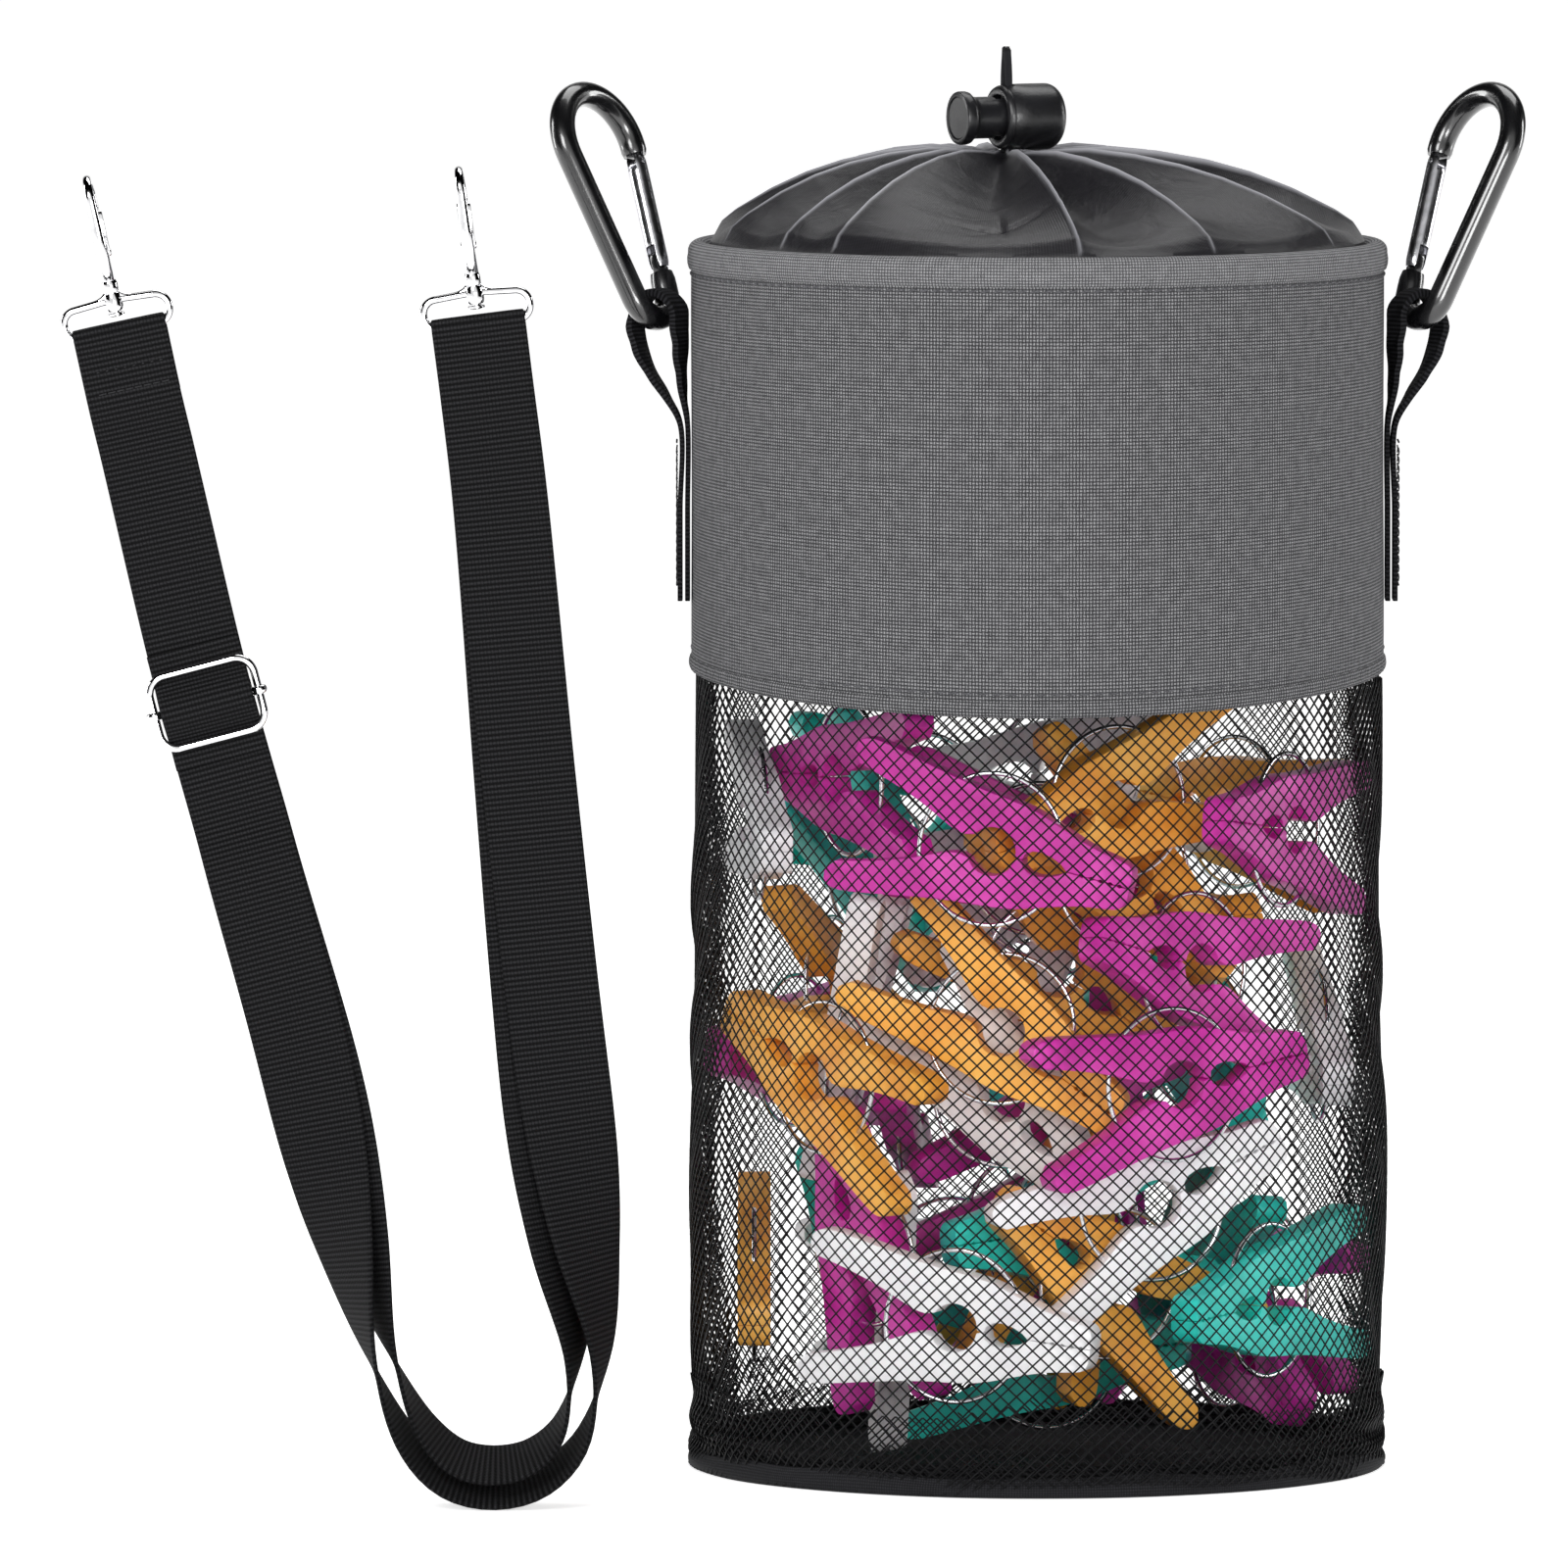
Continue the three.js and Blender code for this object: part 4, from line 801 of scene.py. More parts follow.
def build_net():
    points, faces = net_strands(
        0.6, NET_TOP - 0.5, NET_CELLS, NET_CELL_HEIGHT,
        lambda angle, z: NET_RADIUS - 0.4 + net_bulge(angle, z), NET_CORD_THICK,
    )
    net = add_mesh("net_body", points, faces, materials=[NET_CORD])
    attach(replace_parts(net, "mesh_body"), "bag")

    def folded(angle, z):
        share = np.clip((26.0 - z) / 26.0, 0, 1)
        wave = np.sin(0.5 * z + 1.2 * np.sin(9 * angle) + 3 * np.sin(2 * angle + 0.6))
        return (NET_RADIUS + 0.6 + net_bulge(angle, z)
                + (0.9 * wave + ripple(angle, z, 31, 0.6)) * share**0.5)

    def band_shape(angle, z):
        return z < TURNED_UP + ripple(angle, 0 * z, 37, 3.6)

    lower, lower_faces = net_strands(
        0.4, 30.0, 150, 3.3, folded, NET_CORD_THICK, 0.3, band_shape)
    band = add_mesh("net_turned_up_band", lower, lower_faces, materials=[NET_CORD])
    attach(band, "bag")

    def crumpled(angle, z):
        wave = np.sin(0.7 * z - 1.0 * np.sin(7 * angle) + 2.4 * np.sin(3 * angle + 2.0))
        return NET_RADIUS + 0.9 + 0.8 * wave + ripple(angle, z, 33, 0.5)

    def hem_shape(angle, z):
        return z < HEM_UP + ripple(angle, 0 * z, 38, 2.4)

    inner, inner_faces = net_strands(
        0.4, 17.0, 176, 2.7, crumpled, NET_CORD_THICK, 0.1, hem_shape)
    doubled = add_mesh("net_bottom_hem", inner, inner_faces, materials=[NET_CORD])
    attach(doubled, "bag")

    def side_fold(angle, z):
        across = np.abs(np.cos(angle))
        wave = np.sin(9 * angle * np.sign(np.cos(angle)) + 0.11 * z + 1.5 * np.sin(0.05 * z))
        return NET_RADIUS - 0.2 + net_bulge(angle, z) + 0.8 * wave * across**8

    def side_shape(angle, z):
        edge = 0.93 + 0.025 * np.sin(0.045 * z + 2 * np.cos(angle)) - 0.03 * (z < 120)
        return np.abs(np.cos(angle)) > edge

    fold, fold_faces = net_strands(3.0, 202.0, 150, 3.5, side_fold, 0.46, 0.45, side_shape)
    sides = add_mesh("net_side_folds", fold, fold_faces, materials=[NET_CORD])
    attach(sides, "bag")

    rows = np.linspace(0.2, 5.4, 9)
    cuff_profile = [(NET_RADIUS + 1.2 + 0.5 * math.sin(0.9 * z), z) for z in rows]
    cuff_profile += [(NET_RADIUS - 1.0, z) for z in rows[::-1]]

    def cuff_move(grid, angle, _profile):
        grid = moved_out(grid, ripple(angle[None, :], 9 * grid[..., 2], 35, 0.55))
        rise = np.clip((grid[..., 2] - 1.0) / 4.4, 0, 1)
        grid[..., 2] += rise * ripple(angle[None, :], 0 * grid[..., 2], 36, 1.6)
        return grid

    cuff = lathe("base_seam_binding", cuff_profile, 300, BASE_CLOTH, cuff_move)
    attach(cuff, "bag")

    disc_radius = 86.3
    disc_profile = [(0.05, 0.0)] + [(r, 0.0) for r in np.linspace(4, disc_radius - 1.0, 22)]
    disc_profile += arc(disc_radius - 0.9, 0.9, 0.9, -math.pi / 2, math.pi / 2, 8)
    disc_profile += [(r, BASE_THICKNESS) for r in np.linspace(disc_radius - 1.0, 4, 22)]
    disc_profile += [(0.05, BASE_THICKNESS)]

    def disc_move(grid, angle, prof):
        upper = prof[:, 1:2] > 1.0
        grid[..., 2] += upper * 0.3 * np.abs(ripple(angle[None, :], grid[..., 0] * 9, 41, 1.0))
        return grid

    disc = lathe("base_cloth_disc", disc_profile, 128, BASE_CLOTH, disc_move)
    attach(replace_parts(disc, "base_panel"), "bag")
    tape_rows = np.linspace(2.2, 8.0, 8)
    tape_profile = [(86.2, z) for z in tape_rows] + [(85.0, z) for z in tape_rows[::-1]]

    def tape_move(grid, angle, _profile):
        return moved_out(grid, -0.3 + ripple(angle[None, :], 5 * grid[..., 2], 43, 0.25))

    tape = lathe("inner_seam_tape", tape_profile, 220, TAB_WEBBING, tape_move)
    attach(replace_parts(tape, "base_seam_tape"), "bag")


# Closure

# Ridges of the gathered cloth: angle at the throat and at the rim in degrees from +X, how
# deep the cloth sags between this ridge and the next, and to which side the sag leans
FOLDS = [
    (-92, -83, 1.5, 0.62), (-66, -58, 1.1, 0.7), (-44, -26, 1.2, 1.3), (-12, 2, 0.9, 0.8),
    (22, 24, 1.0, 1.2), (50, 52, 0.8, 0.9), (80, 78, 1.0, 1.1), (108, 106, 0.9, 0.8),
    (136, 134, 1.0, 1.2), (158, 152, 0.9, 0.9), (180, 174, 0.9, 1.1), (200, 196, 1.1, 1.3),
    (220, 218, 0.9, 1.2), (236, 231, 1.1, 1.5),
]
DOME = [(1.0, 0.0), (0.97, 0.18), (0.92, 0.31), (0.8, 0.54), (0.68, 0.72), (0.56, 0.85),
        (0.42, 0.95), (0.28, 1.0), (0.16, 0.98), (0.09, 0.95), (0.05, 0.98)]
CLOTH_REACH = 7.4


def build_closure():
    """Satin sewn in below the rim and gathered to the throat; its ridges follow the folds, and each
    ridge has a painted highlight.
    """
    sewn, drawn_rows, across = 12, 90, 64
    rim = LINING_INNER - 0.6
    drawn = np.concatenate([np.zeros(sewn), np.linspace(0, 0.95, drawn_rows)])
    dome = np.array(DOME)
    radius = rim * (1 - drawn)
    height = RIM_HEIGHT + DOME_HEIGHT * np.interp(1 - drawn, dome[::-1, 0], dome[::-1, 1])
    height[:sewn] = np.linspace(RIM_HEIGHT - 14.0, RIM_HEIGHT - 1.0, sewn)
    throat = np.radians([f[0] for f in FOLDS])
    rim_end = np.radians([f[1] for f in FOLDS])
    share = np.arange(across) / across
    reach = np.sin(math.pi * np.minimum(1.0, drawn * 1.02)) ** 0.7
    columns, valleys, edges, places = [], [], [], []
    for k, (_, _, deep, lean) in enumerate(FOLDS):
        after = (k + 1) % len(FOLDS)
        turn = TAU if after == 0 else 0.0
        blend = drawn[:, None] ** 1.4
        low = rim_end[k] + (throat[k] - rim_end[k]) * blend
        high = rim_end[after] + turn + (throat[after] - rim_end[after]) * blend
        places.append(low + (high - low) * share)
        bent = share**lean
        valley = 1 - np.abs(2 * bent - 1) ** 1.55
        width = (high - low) * radius[:, None]
        depth = CLOTH_REACH * deep * np.minimum(1.0, width / 15.0) ** 0.6
        valleys.append(depth * reach[:, None] * valley)
        # Ridge mask, narrow about each ridge: it lifts a small bead of cloth there and also sets
        # where the painted highlight goes
        away = np.minimum(share, 1 - share) * width
        edges.append(np.exp(-((away / 0.45) ** 2)) * reach[:, None] ** 0.4)
        columns.append((low + high) / 2)
    place = np.concatenate(places, 1)
    valley = np.concatenate(valleys, 1)
    edge = np.concatenate(edges, 1)
    slow = ripple(place, drawn[:, None] * 60, 51, 0.5) * reach[:, None]
    out = radius[:, None] - 0.22 * valley
    grid = round_grid(out, place, height[:, None] - valley + slow + 0.5 * edge)
    grid[..., 0] -= THROAT_OFFSET * drawn[:, None]
    pinch = np.array(arc(-2.5, 0.0, 70.0, math.radians(-96.0), 0.0, 1)[0])
    for turn_by, length in ((20.0, 9.0), (95.0, 6.0), (160.0, 7.0)):
        run = np.array([math.cos(math.radians(turn_by)), math.sin(math.radians(turn_by))])
        away = grid[..., :2] - pinch
        along = away @ run
        side = away @ np.array([-run[1], run[0]])
        fade = np.exp(-((along - length / 2) / length) ** 2) * np.exp(-((side / 0.9) ** 2))
        grid[..., 2] -= 0.9 * fade
    flat = grid.shape[1]
    u = np.arange(flat + 1) * TAU / flat * rim
    v = run_lengths(np.stack([radius, 0 * radius, height], 1))
    faces, uv = grid_arrays(grid, u, v, True)
    cloth = add_mesh("closure_cloth", grid, [faces], [uv], materials=[SATIN])
    # The ridge mask is stored on the points for the satin's painted highlight along the ridges
    layer = cloth.data.attributes.new("painted_ridge_highlight", "FLOAT", "POINT")
    layer.data.foreach_set("value", (0.85 * edge).astype(np.float32).ravel())
    face_outward(cloth)
    shade_by_angle(cloth, 50)
    thick = cloth.modifiers.new("thickness", "SOLIDIFY")
    thick.thickness = 0.5 * MM
    thick.offset = -1.0
    apply_modifiers(cloth)
    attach(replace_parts(cloth, "closure_skirt"), "bag")
    curl = build_throat_curl()


def build_throat_curl():
    """The little rolled fold of satin that stands out at the front of the throat."""
    outline = smooth_line([
        (-2.2, 0.0, 335.6), (-1.0, -1.2, 332.5), (-1.6, -3.2, 328.2), (-3.4, -5.6, 322.6),
        (-5.4, -3.6, 327.0), (-6.4, -1.4, 331.6), (-5.0, 0.0, 335.2)], 48, closed=True)
    forward = np.array([0.0, -9.5, 0.0])
    rolled = tube("throat_curl_edge", outline + forward, 0.55, SATIN, sides=10, closed=True)
    centre = outline.mean(0)
    rings = [
        centre + (outline - centre) * s + forward + np.array([0.0, 2.2 * (1 - s * s), 0.0])
        for s in (1.0, 0.8, 0.6, 0.4, 0.2, 0.02)
    ]
    back = [ring + np.array([0.0, 0.6, 0.0]) for ring in rings[::-1]]
    grid = np.array(rings + back)
    faces, uv = grid_arrays(grid, np.arange(49) * 0.6, run_lengths(grid[:, 0]), True, False)
    hollow = face_outward(add_mesh("throat_curl", grid, [faces], [uv], materials=[SATIN]))
    for made in (rolled, hollow):
        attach(made, "bag")
    return hollow


# Cord lock and drawcord

LOCK_AT = (-2.877, 2.499, 345.36)
LOCK_X = (-0.898794, -0.438371, 0.0)
LOCK_Y = (0.438371, -0.898794, 0.0)


def lock_frame(made):
    return placed(made, LOCK_AT, LOCK_X, LOCK_Y, (0.0, 0.0, 1.0))


def turned(name, profile, material, steps=72):
    """A turned piece about local X from [along, radius] points."""
    made = lathe(name, [(r, a) for a, r in profile], steps, material)
    made.data.transform(Matrix(((0, 0, 1, 0), (0, 1, 0, 0), (-1, 0, 0, 0), (0, 0, 0, 1))))
    return face_outward(made)


def cord_slot(name, start, end):
    outline = [(start, -20.0), (end, -20.0), (end, 20.0), (start, 20.0)]
    return plate(name, outline, 5.0, BLACK_PLASTIC, bevel=0)


def build_cord_lock():
    reach = 8.5
    corner = 3.5
    outside = [(reach - 0.1, 6.2), (reach, 6.6), (reach, 7.3), (reach - 0.35, 7.75)]
    outside += [(reach - 1.1, 8.15), (reach - 1.5, 8.2), (reach - 1.7, 8.0), (reach - 2.0, 8.05)]
    outside += [(reach - 2.6, 8.4), (2.0, 8.5), (-2.0, 8.5)]
    outside += [
        (-(reach - corner) - corner * math.sin(q), LOCK_RADIUS - corner + corner * math.cos(q))
        for q in np.linspace(0, math.pi / 2, 12)
    ]
    outside += [(-reach, 3.0), (-reach + 0.15, 2.6), (-reach + 0.15, 0.05)]
    inside = [(-reach + 2.5, 0.05), (-reach + 2.5, 5.6), (reach - 1.0, 5.7), (reach - 0.3, 5.9)]
    barrel = turned("lock_barrel", outside + inside, BLACK_PLASTIC)
    cut_with(barrel, cord_slot("barrel_slot", 4.35, 7.05))
    shade_by_angle(barrel, 38)
    lock_frame(barrel)
    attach(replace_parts(barrel, "cord_lock_barrel"), "cord_lock")

    neck, head = reach + 8.3, reach + 11.3
    outline = [
        (1.8, 0.05), (1.8, 5.0), (2.1, 5.35), (neck - 2.0, 5.35), (neck - 1.0, 5.5),
        (neck - 0.3, 6.1), (neck + 0.2, 6.65), (neck + 0.9, 6.85), (head - 0.7, 6.85),
        (head - 0.2, 6.65), (head, 6.25), (head, 5.6), (head - 0.35, 5.2), (head - 0.45, 0.05),
    ]
    button = turned("lock_button", outline, BLACK_PLASTIC)
    cut_with(button, cord_slot("button_slot", 4.4, 10.0))
    shade_by_angle(button, 38)
    lock_frame(button)
    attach(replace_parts(button, "cord_lock_button"), "lock_button")

    turns = np.linspace(0, 4 * TAU, 160)
    coil_line = np.stack([np.linspace(-5.2, 1.0, 160), 4.4 * np.cos(turns), 4.4 * np.sin(turns)], 1)
    spring = tube("lock_spring_coil", coil_line, 0.42, STEEL, sides=8)
    lock_frame(spring)
    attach(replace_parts(spring, "cord_lock_spring"), "cord_lock")


def build_drawcord():
    lock_x, lock_y = np.array(LOCK_X), np.array(LOCK_Y)
    throat = np.array([-THROAT_OFFSET, 0.0, 0.0])
    cord = Wires()
    ends = []
    for side in (-1, 1):
        heights = np.linspace(THROAT_HEIGHT - 5.0, CORD_TIP - (0.5 if side > 0 else 0.0), 26)
        above = np.clip((heights - 353.8) / 9.0, 0, 1)[:, None]
        line = throat + lock_y * 1.2 * side + np.outer(heights, (0.0, 0.0, 1.0))
        line = line + lock_x * 0.5 * side * above**2
        swell = 0.98 + 0.1 * np.clip((line[:, 2] - CORD_TIP + 2.0) / 1.6, 0, 1)
        cord.add(line, swell, sides=20, round_ends=False)
        ends.append(line[-1])
    ring = throat + np.array([0.0, 0.0, THROAT_HEIGHT - 6.0])
    loop = [
        ring + 6.2 * (lock_x * math.cos(a) + lock_y * math.sin(a))
        for a in np.linspace(math.pi / 2 - 0.1, math.pi / 2 - TAU + 0.1, 40)
    ]
    cord.add(loop, 0.98, sides=12)
    for end in ends:
        for a in TAU * np.arange(9) / 9:
            out = np.array([math.cos(a), math.sin(a), 0.0])
            root = end + 0.62 * out
            frayed = root + 0.16 * out + np.array([0.0, 0.0, 0.3])
            cord.add([root, frayed], 0.2, sides=6, round_ends=False)
    made = cord.mesh("braided_drawcord", BRAID)
    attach(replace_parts(made, "drawcord"), "bag")


# Webbing strips

def strip(name, stations, place, material, width_steps):
    """Webbing along stations (along, off, ply, width), each put in its place by a function."""
    across = np.linspace(-1, 1, width_steps)
    section = [(1.0, a) for a in across] + [(0.0, 1.03)]
    section += [(-1.0, a) for a in across[::-1]] + [(0.0, -1.03)]
    count = len(section)
    rings, middles = [], []
    for i, station in enumerate(stations):
        before, after = stations[max(i - 1, 0)], stations[min(i + 1, len(stations) - 1)]
        da, do = after[0] - before[0], after[1] - before[1]
        length = math.hypot(da, do) or 1.0
        lift = (-do / length * station[2] / 2, da / length * station[2] / 2)
        ring = []
        for up, side in section:
            edge = up * (1 - 0.16 * abs(side) ** 6)
            ring.append(place(station[0] + lift[0] * edge, station[1] + lift[1] * edge,
                              side * station[3] / 2, station))
        rings.append(ring)
        middles.append(place(station[0], station[1], 0.0, station))
    grid = np.array(rings)
    u = stations[0][3] / 2 * np.array([s for _, s in section] + [section[0][1]])
    quads, uv = grid_arrays(grid, u, run_lengths(middles), True)
    last = (len(stations) - 1) * count
    caps = np.array([range(count)[::-1], range(last, last + count)])
    made = add_mesh(name, grid, [quads, caps], [uv, np.zeros((2, count, 2))],
                    materials=[material])
    return shade_by_angle(face_outward(made), 60)


def fine_stations(stations, step):
    """Stations put closer together along a smooth line through them."""
    rows = np.array(stations, float)
    place = rows[:, :2]
    lengths = run_lengths(place)
    count = max(3, int(lengths[-1] / step))
    line = smooth_line(np.column_stack([place, 0 * place[:, 0]]), count)[:, :2]
    fine = run_lengths(line)
    fine *= lengths[-1] / fine[-1]
    sizes = [np.interp(fine, lengths, rows[:, k]) for k in (2, 3)]
    return [tuple(row) for row in np.column_stack([line, *sizes])]


# Side tabs

WIRE_HEIGHT, WIRE_OUT = 294.0, 97.1
TAB_BOTTOM, TAB_TOP = 222.0, 267.0
TAB_WIDTH, TAB_PLY, CROWN_PLY, CROWN_WIDTH = 15.0, 1.3, 2.2, 6.0
CROWN_REACH = 3.3 + 1.9 + 0.3 + CROWN_PLY / 2


def tab_stations():
    inner_off = BAG_RADIUS + 0.3 + TAB_PLY / 2
    outer_off = inner_off + 3.2 - TAB_PLY

    def leg(share, off):
        return (TAB_TOP + (WIRE_HEIGHT - TAB_TOP) * share, off,
                TAB_PLY + (CROWN_PLY - TAB_PLY) * share,
                TAB_WIDTH + (CROWN_WIDTH - TAB_WIDTH) * share)

    crown = [
        (WIRE_HEIGHT + CROWN_REACH * math.sin(a), WIRE_OUT + CROWN_REACH * math.cos(a),
         CROWN_PLY, CROWN_WIDTH)
        for a in np.linspace(0, math.pi, 7)
    ]
    rise_outer = [(0.25, -0.35), (0.5, 0.3), (0.8, 0.85)]
    rise_inner = [(0.8, 0.95), (0.5, 0.93), (0.25, 1.0)]
    sewn = [TAB_BOTTOM, (TAB_BOTTOM + TAB_TOP) / 2, TAB_TOP]
    stations = [(a, outer_off, TAB_PLY, TAB_WIDTH) for a in sewn]
    stations += [leg(s, WIRE_OUT + CROWN_REACH * o) for s, o in rise_outer]
    stations += crown
    stations += [
        leg(s, max(WIRE_OUT - CROWN_REACH * o, inner_off + (CROWN_PLY - TAB_PLY) * s))
        for s, o in rise_inner
    ]
    stations += [(a, inner_off, TAB_PLY, TAB_WIDTH) for a in sewn[::-1]]
    return stations


def build_tabs():
    full_turn = math.pi / 2 - math.radians(54)
    stations = fine_stations(tab_stations(), 1.2)

    def place(along, off, across, _station):
        share = min(1.0, max(0.0, (along - TAB_TOP) / (WIRE_HEIGHT - TAB_TOP)))
        turn = -full_turn * share**2
        pinch = share * 0.55 * math.sin(0.9 * across + 0.25 * along) * math.sin(0.45 * along)
        out = WIRE_OUT - off + pinch
        ridge = 0.5 * share * math.sin(1.6 * along)
        return (-WIRE_OUT + out * math.cos(turn) - across * math.sin(turn),
                out * math.sin(turn) + (across + 0.25 * ridge) * math.cos(turn), along)

    for side, label in ((-1, "left"), (1, "right")):
        tab = strip(f"{label}_tab_webbing", stations, place, TAB_WEBBING, 13)
        if side > 0:
            tab.data.transform(Matrix.Diagonal((-1.0, 1.0, 1.0, 1.0)))
            tab.data.flip_normals()
        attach(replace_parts(tab, f"{label}_side_tab"), "bag")
        rows = []
        for height in (226.0, 262.5):
            for y in np.arange(-5.6, 5.7, 2.25):
                x = side * (BAG_RADIUS + 3.62)
                rows.append([(x, y - 0.85, height), (x + side * 0.12, y, height + 0.1),
                             (x, y + 0.85, height)])
        for y in (-5.9, 5.9):
            for height in np.arange(228.0, 262.0, 2.3):
                x = side * (BAG_RADIUS + 3.62)
                rows.append([(x, y, height - 0.85), (x + side * 0.12, y, height),
                             (x, y, height + 0.85)])
        sewn = tubes(f"{label}_tab_stitches", rows, 0.2, BLACK_THREAD, sides=6)
        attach(sewn, "bag")


# Carabiners

def body_of(node):
    bodies = frame["record"]["behaviour"]["bodies"]
    return next(body for body, nodes in bodies.items() if node in nodes)


UPPER_BEND, LOWER_BEND, BEND_GAP = 14.0, 7.0, 40.4
FLARE = math.asin((UPPER_BEND - LOWER_BEND) / BEND_GAP)
GATE_LINE = BEND_GAP * math.cos(FLARE)
PIN_PLACE = GATE_LINE / 4
GATE_RADIUS = 2.6
GATE_FOOT = GATE_RADIUS - 0.2
WIRE_END_GAP = math.hypot(GATE_RADIUS, GATE_FOOT) + 0.3
NOSE_RUN = 1.1
GATE_TOP = GATE_LINE - PIN_PLACE - NOSE_RUN - 0.3
SLOT_DEPTH = 3.5
CARABINERS = {
    "left": ((-97.1, 0.0, 294.0), (0.587785, 0.809017, 0.0), (-0.744704, 0.541059, -0.390731),
             (-0.316108, 0.229666, 0.920505)),
    "right": ((97.1, 0.0, 294.0), (0.587785, -0.809017, 0.0), (0.744704, 0.541059, -0.390731),
              (0.316108, 0.229666, 0.920505)),
}


def on_gate_side(run):
    return (LOWER_BEND * math.cos(FLARE) + run * math.sin(FLARE),
            LOWER_BEND * (1 - math.sin(FLARE)) + run * math.cos(FLARE))


def gate_place(x, z):
    """A point of the gate's own frame, origin at the hinge pin, in the carabiner's frame."""
    foot_x, foot_z = on_gate_side(PIN_PLACE)
    return (foot_x + x * math.cos(FLARE) + z * math.sin(FLARE),
            foot_z - x * math.sin(FLARE) + z * math.cos(FLARE))


def gate_line(points):
    return [(gate_place(x, z)[0], y, gate_place(x, z)[1]) for x, y, z in points]


def gate_block(name, x0, x1, thickness, z0, z1, material, bevel=0.0):
    outline = [gate_place(x0, z0), gate_place(x1, z0), gate_place(x1, z1), gate_place(x0, z1)]
    return plate(name, outline, thickness, material, bevel=bevel)


def build_carabiner(label):
    origin, x_axis, y_axis, z_axis = CARABINERS[label]
    mirror = label == "right"

    def put(made):
        return placed(made, origin, x_axis, y_axis, z_axis, mirror)

    end = PIN_PLACE - WIRE_END_GAP
    outline = [on_gate_side(r) for r in np.linspace(end, 0.4, 4)]
    outline += arc(0, LOWER_BEND, LOWER_BEND, -FLARE, FLARE - math.pi, 18)
    spine_from, spine_to = outline[-1], (
        UPPER_BEND * math.cos(math.pi + FLARE),
        LOWER_BEND + BEND_GAP + UPPER_BEND * math.sin(math.pi + FLARE))
    outline += [
        (spine_from[0] + s * (spine_to[0] - spine_from[0]),
         spine_from[1] + s * (spine_to[1] - spine_from[1]))
        for s in np.linspace(0.05, 0.95, 12)
    ]
    outline += arc(0, LOWER_BEND + BEND_GAP, UPPER_BEND, math.pi + FLARE, -FLARE, 30)
    outline.append(on_gate_side(GATE_LINE - NOSE_RUN))
    line = [(x, 0.0, z) for x, z in outline]
    radii = np.full(len(line), 3.3)
    radii[0], radii[-1] = 2.9, 2.95
    radii[1], radii[-2] = 3.25, 3.3
    body = tube(f"{label}_carabiner_wire", line, radii, ENAMEL, sides=32, round_ends=False,
                start=(0.0, 1.0, 0.0))
    shade_by_angle(body, 50)
    put(body)
    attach(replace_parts(body, f"{label}_carabiner_body"),
            f"{label}_carabiner")
    tongue = [gate_place(x, z) for x, z in (
        (-1.7, -WIRE_END_GAP - 0.8), (1.8, -WIRE_END_GAP - 0.8), (2.2, -1.2), (2.0, 1.2),
        (1.0, 2.2), (-0.9, 2.2), (-2.0, 1.2), (-2.1, -1.2))]
    clevis = plate(f"{label}_clevis", rounded(tongue, 2), 2.2, ENAMEL, bevel=0.25)
    put(clevis)
    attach(clevis, f"{label}_carabiner")
    nose = [gate_place(x, z) for x, z in (
        (0.75, GATE_TOP - SLOT_DEPTH + 0.7), (2.2, GATE_TOP - SLOT_DEPTH + 0.7),
        (2.3, GATE_TOP + 1.6), (0.75, GATE_TOP + 1.6))]
    tip = plate(f"{label}_nose_hook", nose, 2.2, ENAMEL, bevel=0.25)
    put(tip)
    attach(tip, f"{label}_carabiner")

    along = np.linspace(-GATE_FOOT, GATE_TOP, 22)
    radii = np.full(22, GATE_RADIUS)
    radii[0] = radii[-1] = 2.25
    radii[1] = radii[-2] = 2.55
    gate = tube(f"{label}_gate_lever", gate_line([(0.0, 0.0, z) for z in along]), radii, NICKEL,
                sides=32, round_ends=False, start=(0.0, 1.0, 0.0))
    cut_with(
        gate,
        gate_block("low_slot", -4, 4, 2.8, -GATE_FOOT - 1, SLOT_DEPTH, NICKEL),
        gate_block("high_slot", -4, 4, 2.8, GATE_TOP - SLOT_DEPTH, GATE_TOP + 1, NICKEL),
    )
    bevelled(gate, 0.18, 2, 40)
    shade_by_angle(gate, 40)
    put(gate)
    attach(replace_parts(gate, f"{label}_carabiner_gate"),
            f"{label}_gate")

    for kind, x, z in (("hinge", 0.0, 0.0), ("latch", -0.2, GATE_TOP - SLOT_DEPTH + 1.6)):
        node = f"{label}_gate_{kind}_pin"
        profile_line = gate_line([(x, y, z) for y in np.linspace(-2.68, 2.68, 8)])
        width = np.full(8, 0.8)
        width[0] = width[-1] = 0.62
        pin = tube(f"{label}_{kind}_rivet", profile_line, width, NICKEL, sides=20,
                   round_ends=False, start=(0.0, 0.0, 1.0))
        shade_by_angle(pin, 50)
        put(pin)
        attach(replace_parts(pin, node), body_of(node))

    node = f"{label}_gate_spring"
    turns = np.linspace(0, 4 * TAU, 120)
    rise = np.linspace(GATE_FOOT + 0.7, SLOT_DEPTH + GATE_LINE / 3 - 1.6, 120)
    line = gate_line(np.stack([0.9 * np.cos(turns), 0.9 * np.sin(turns), rise], 1))
    coil = tube(f"{label}_gate_coil", line, 0.28, STEEL, sides=8)
    put(coil)
    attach(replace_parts(coil, node), body_of(node))


# Shoulder strap

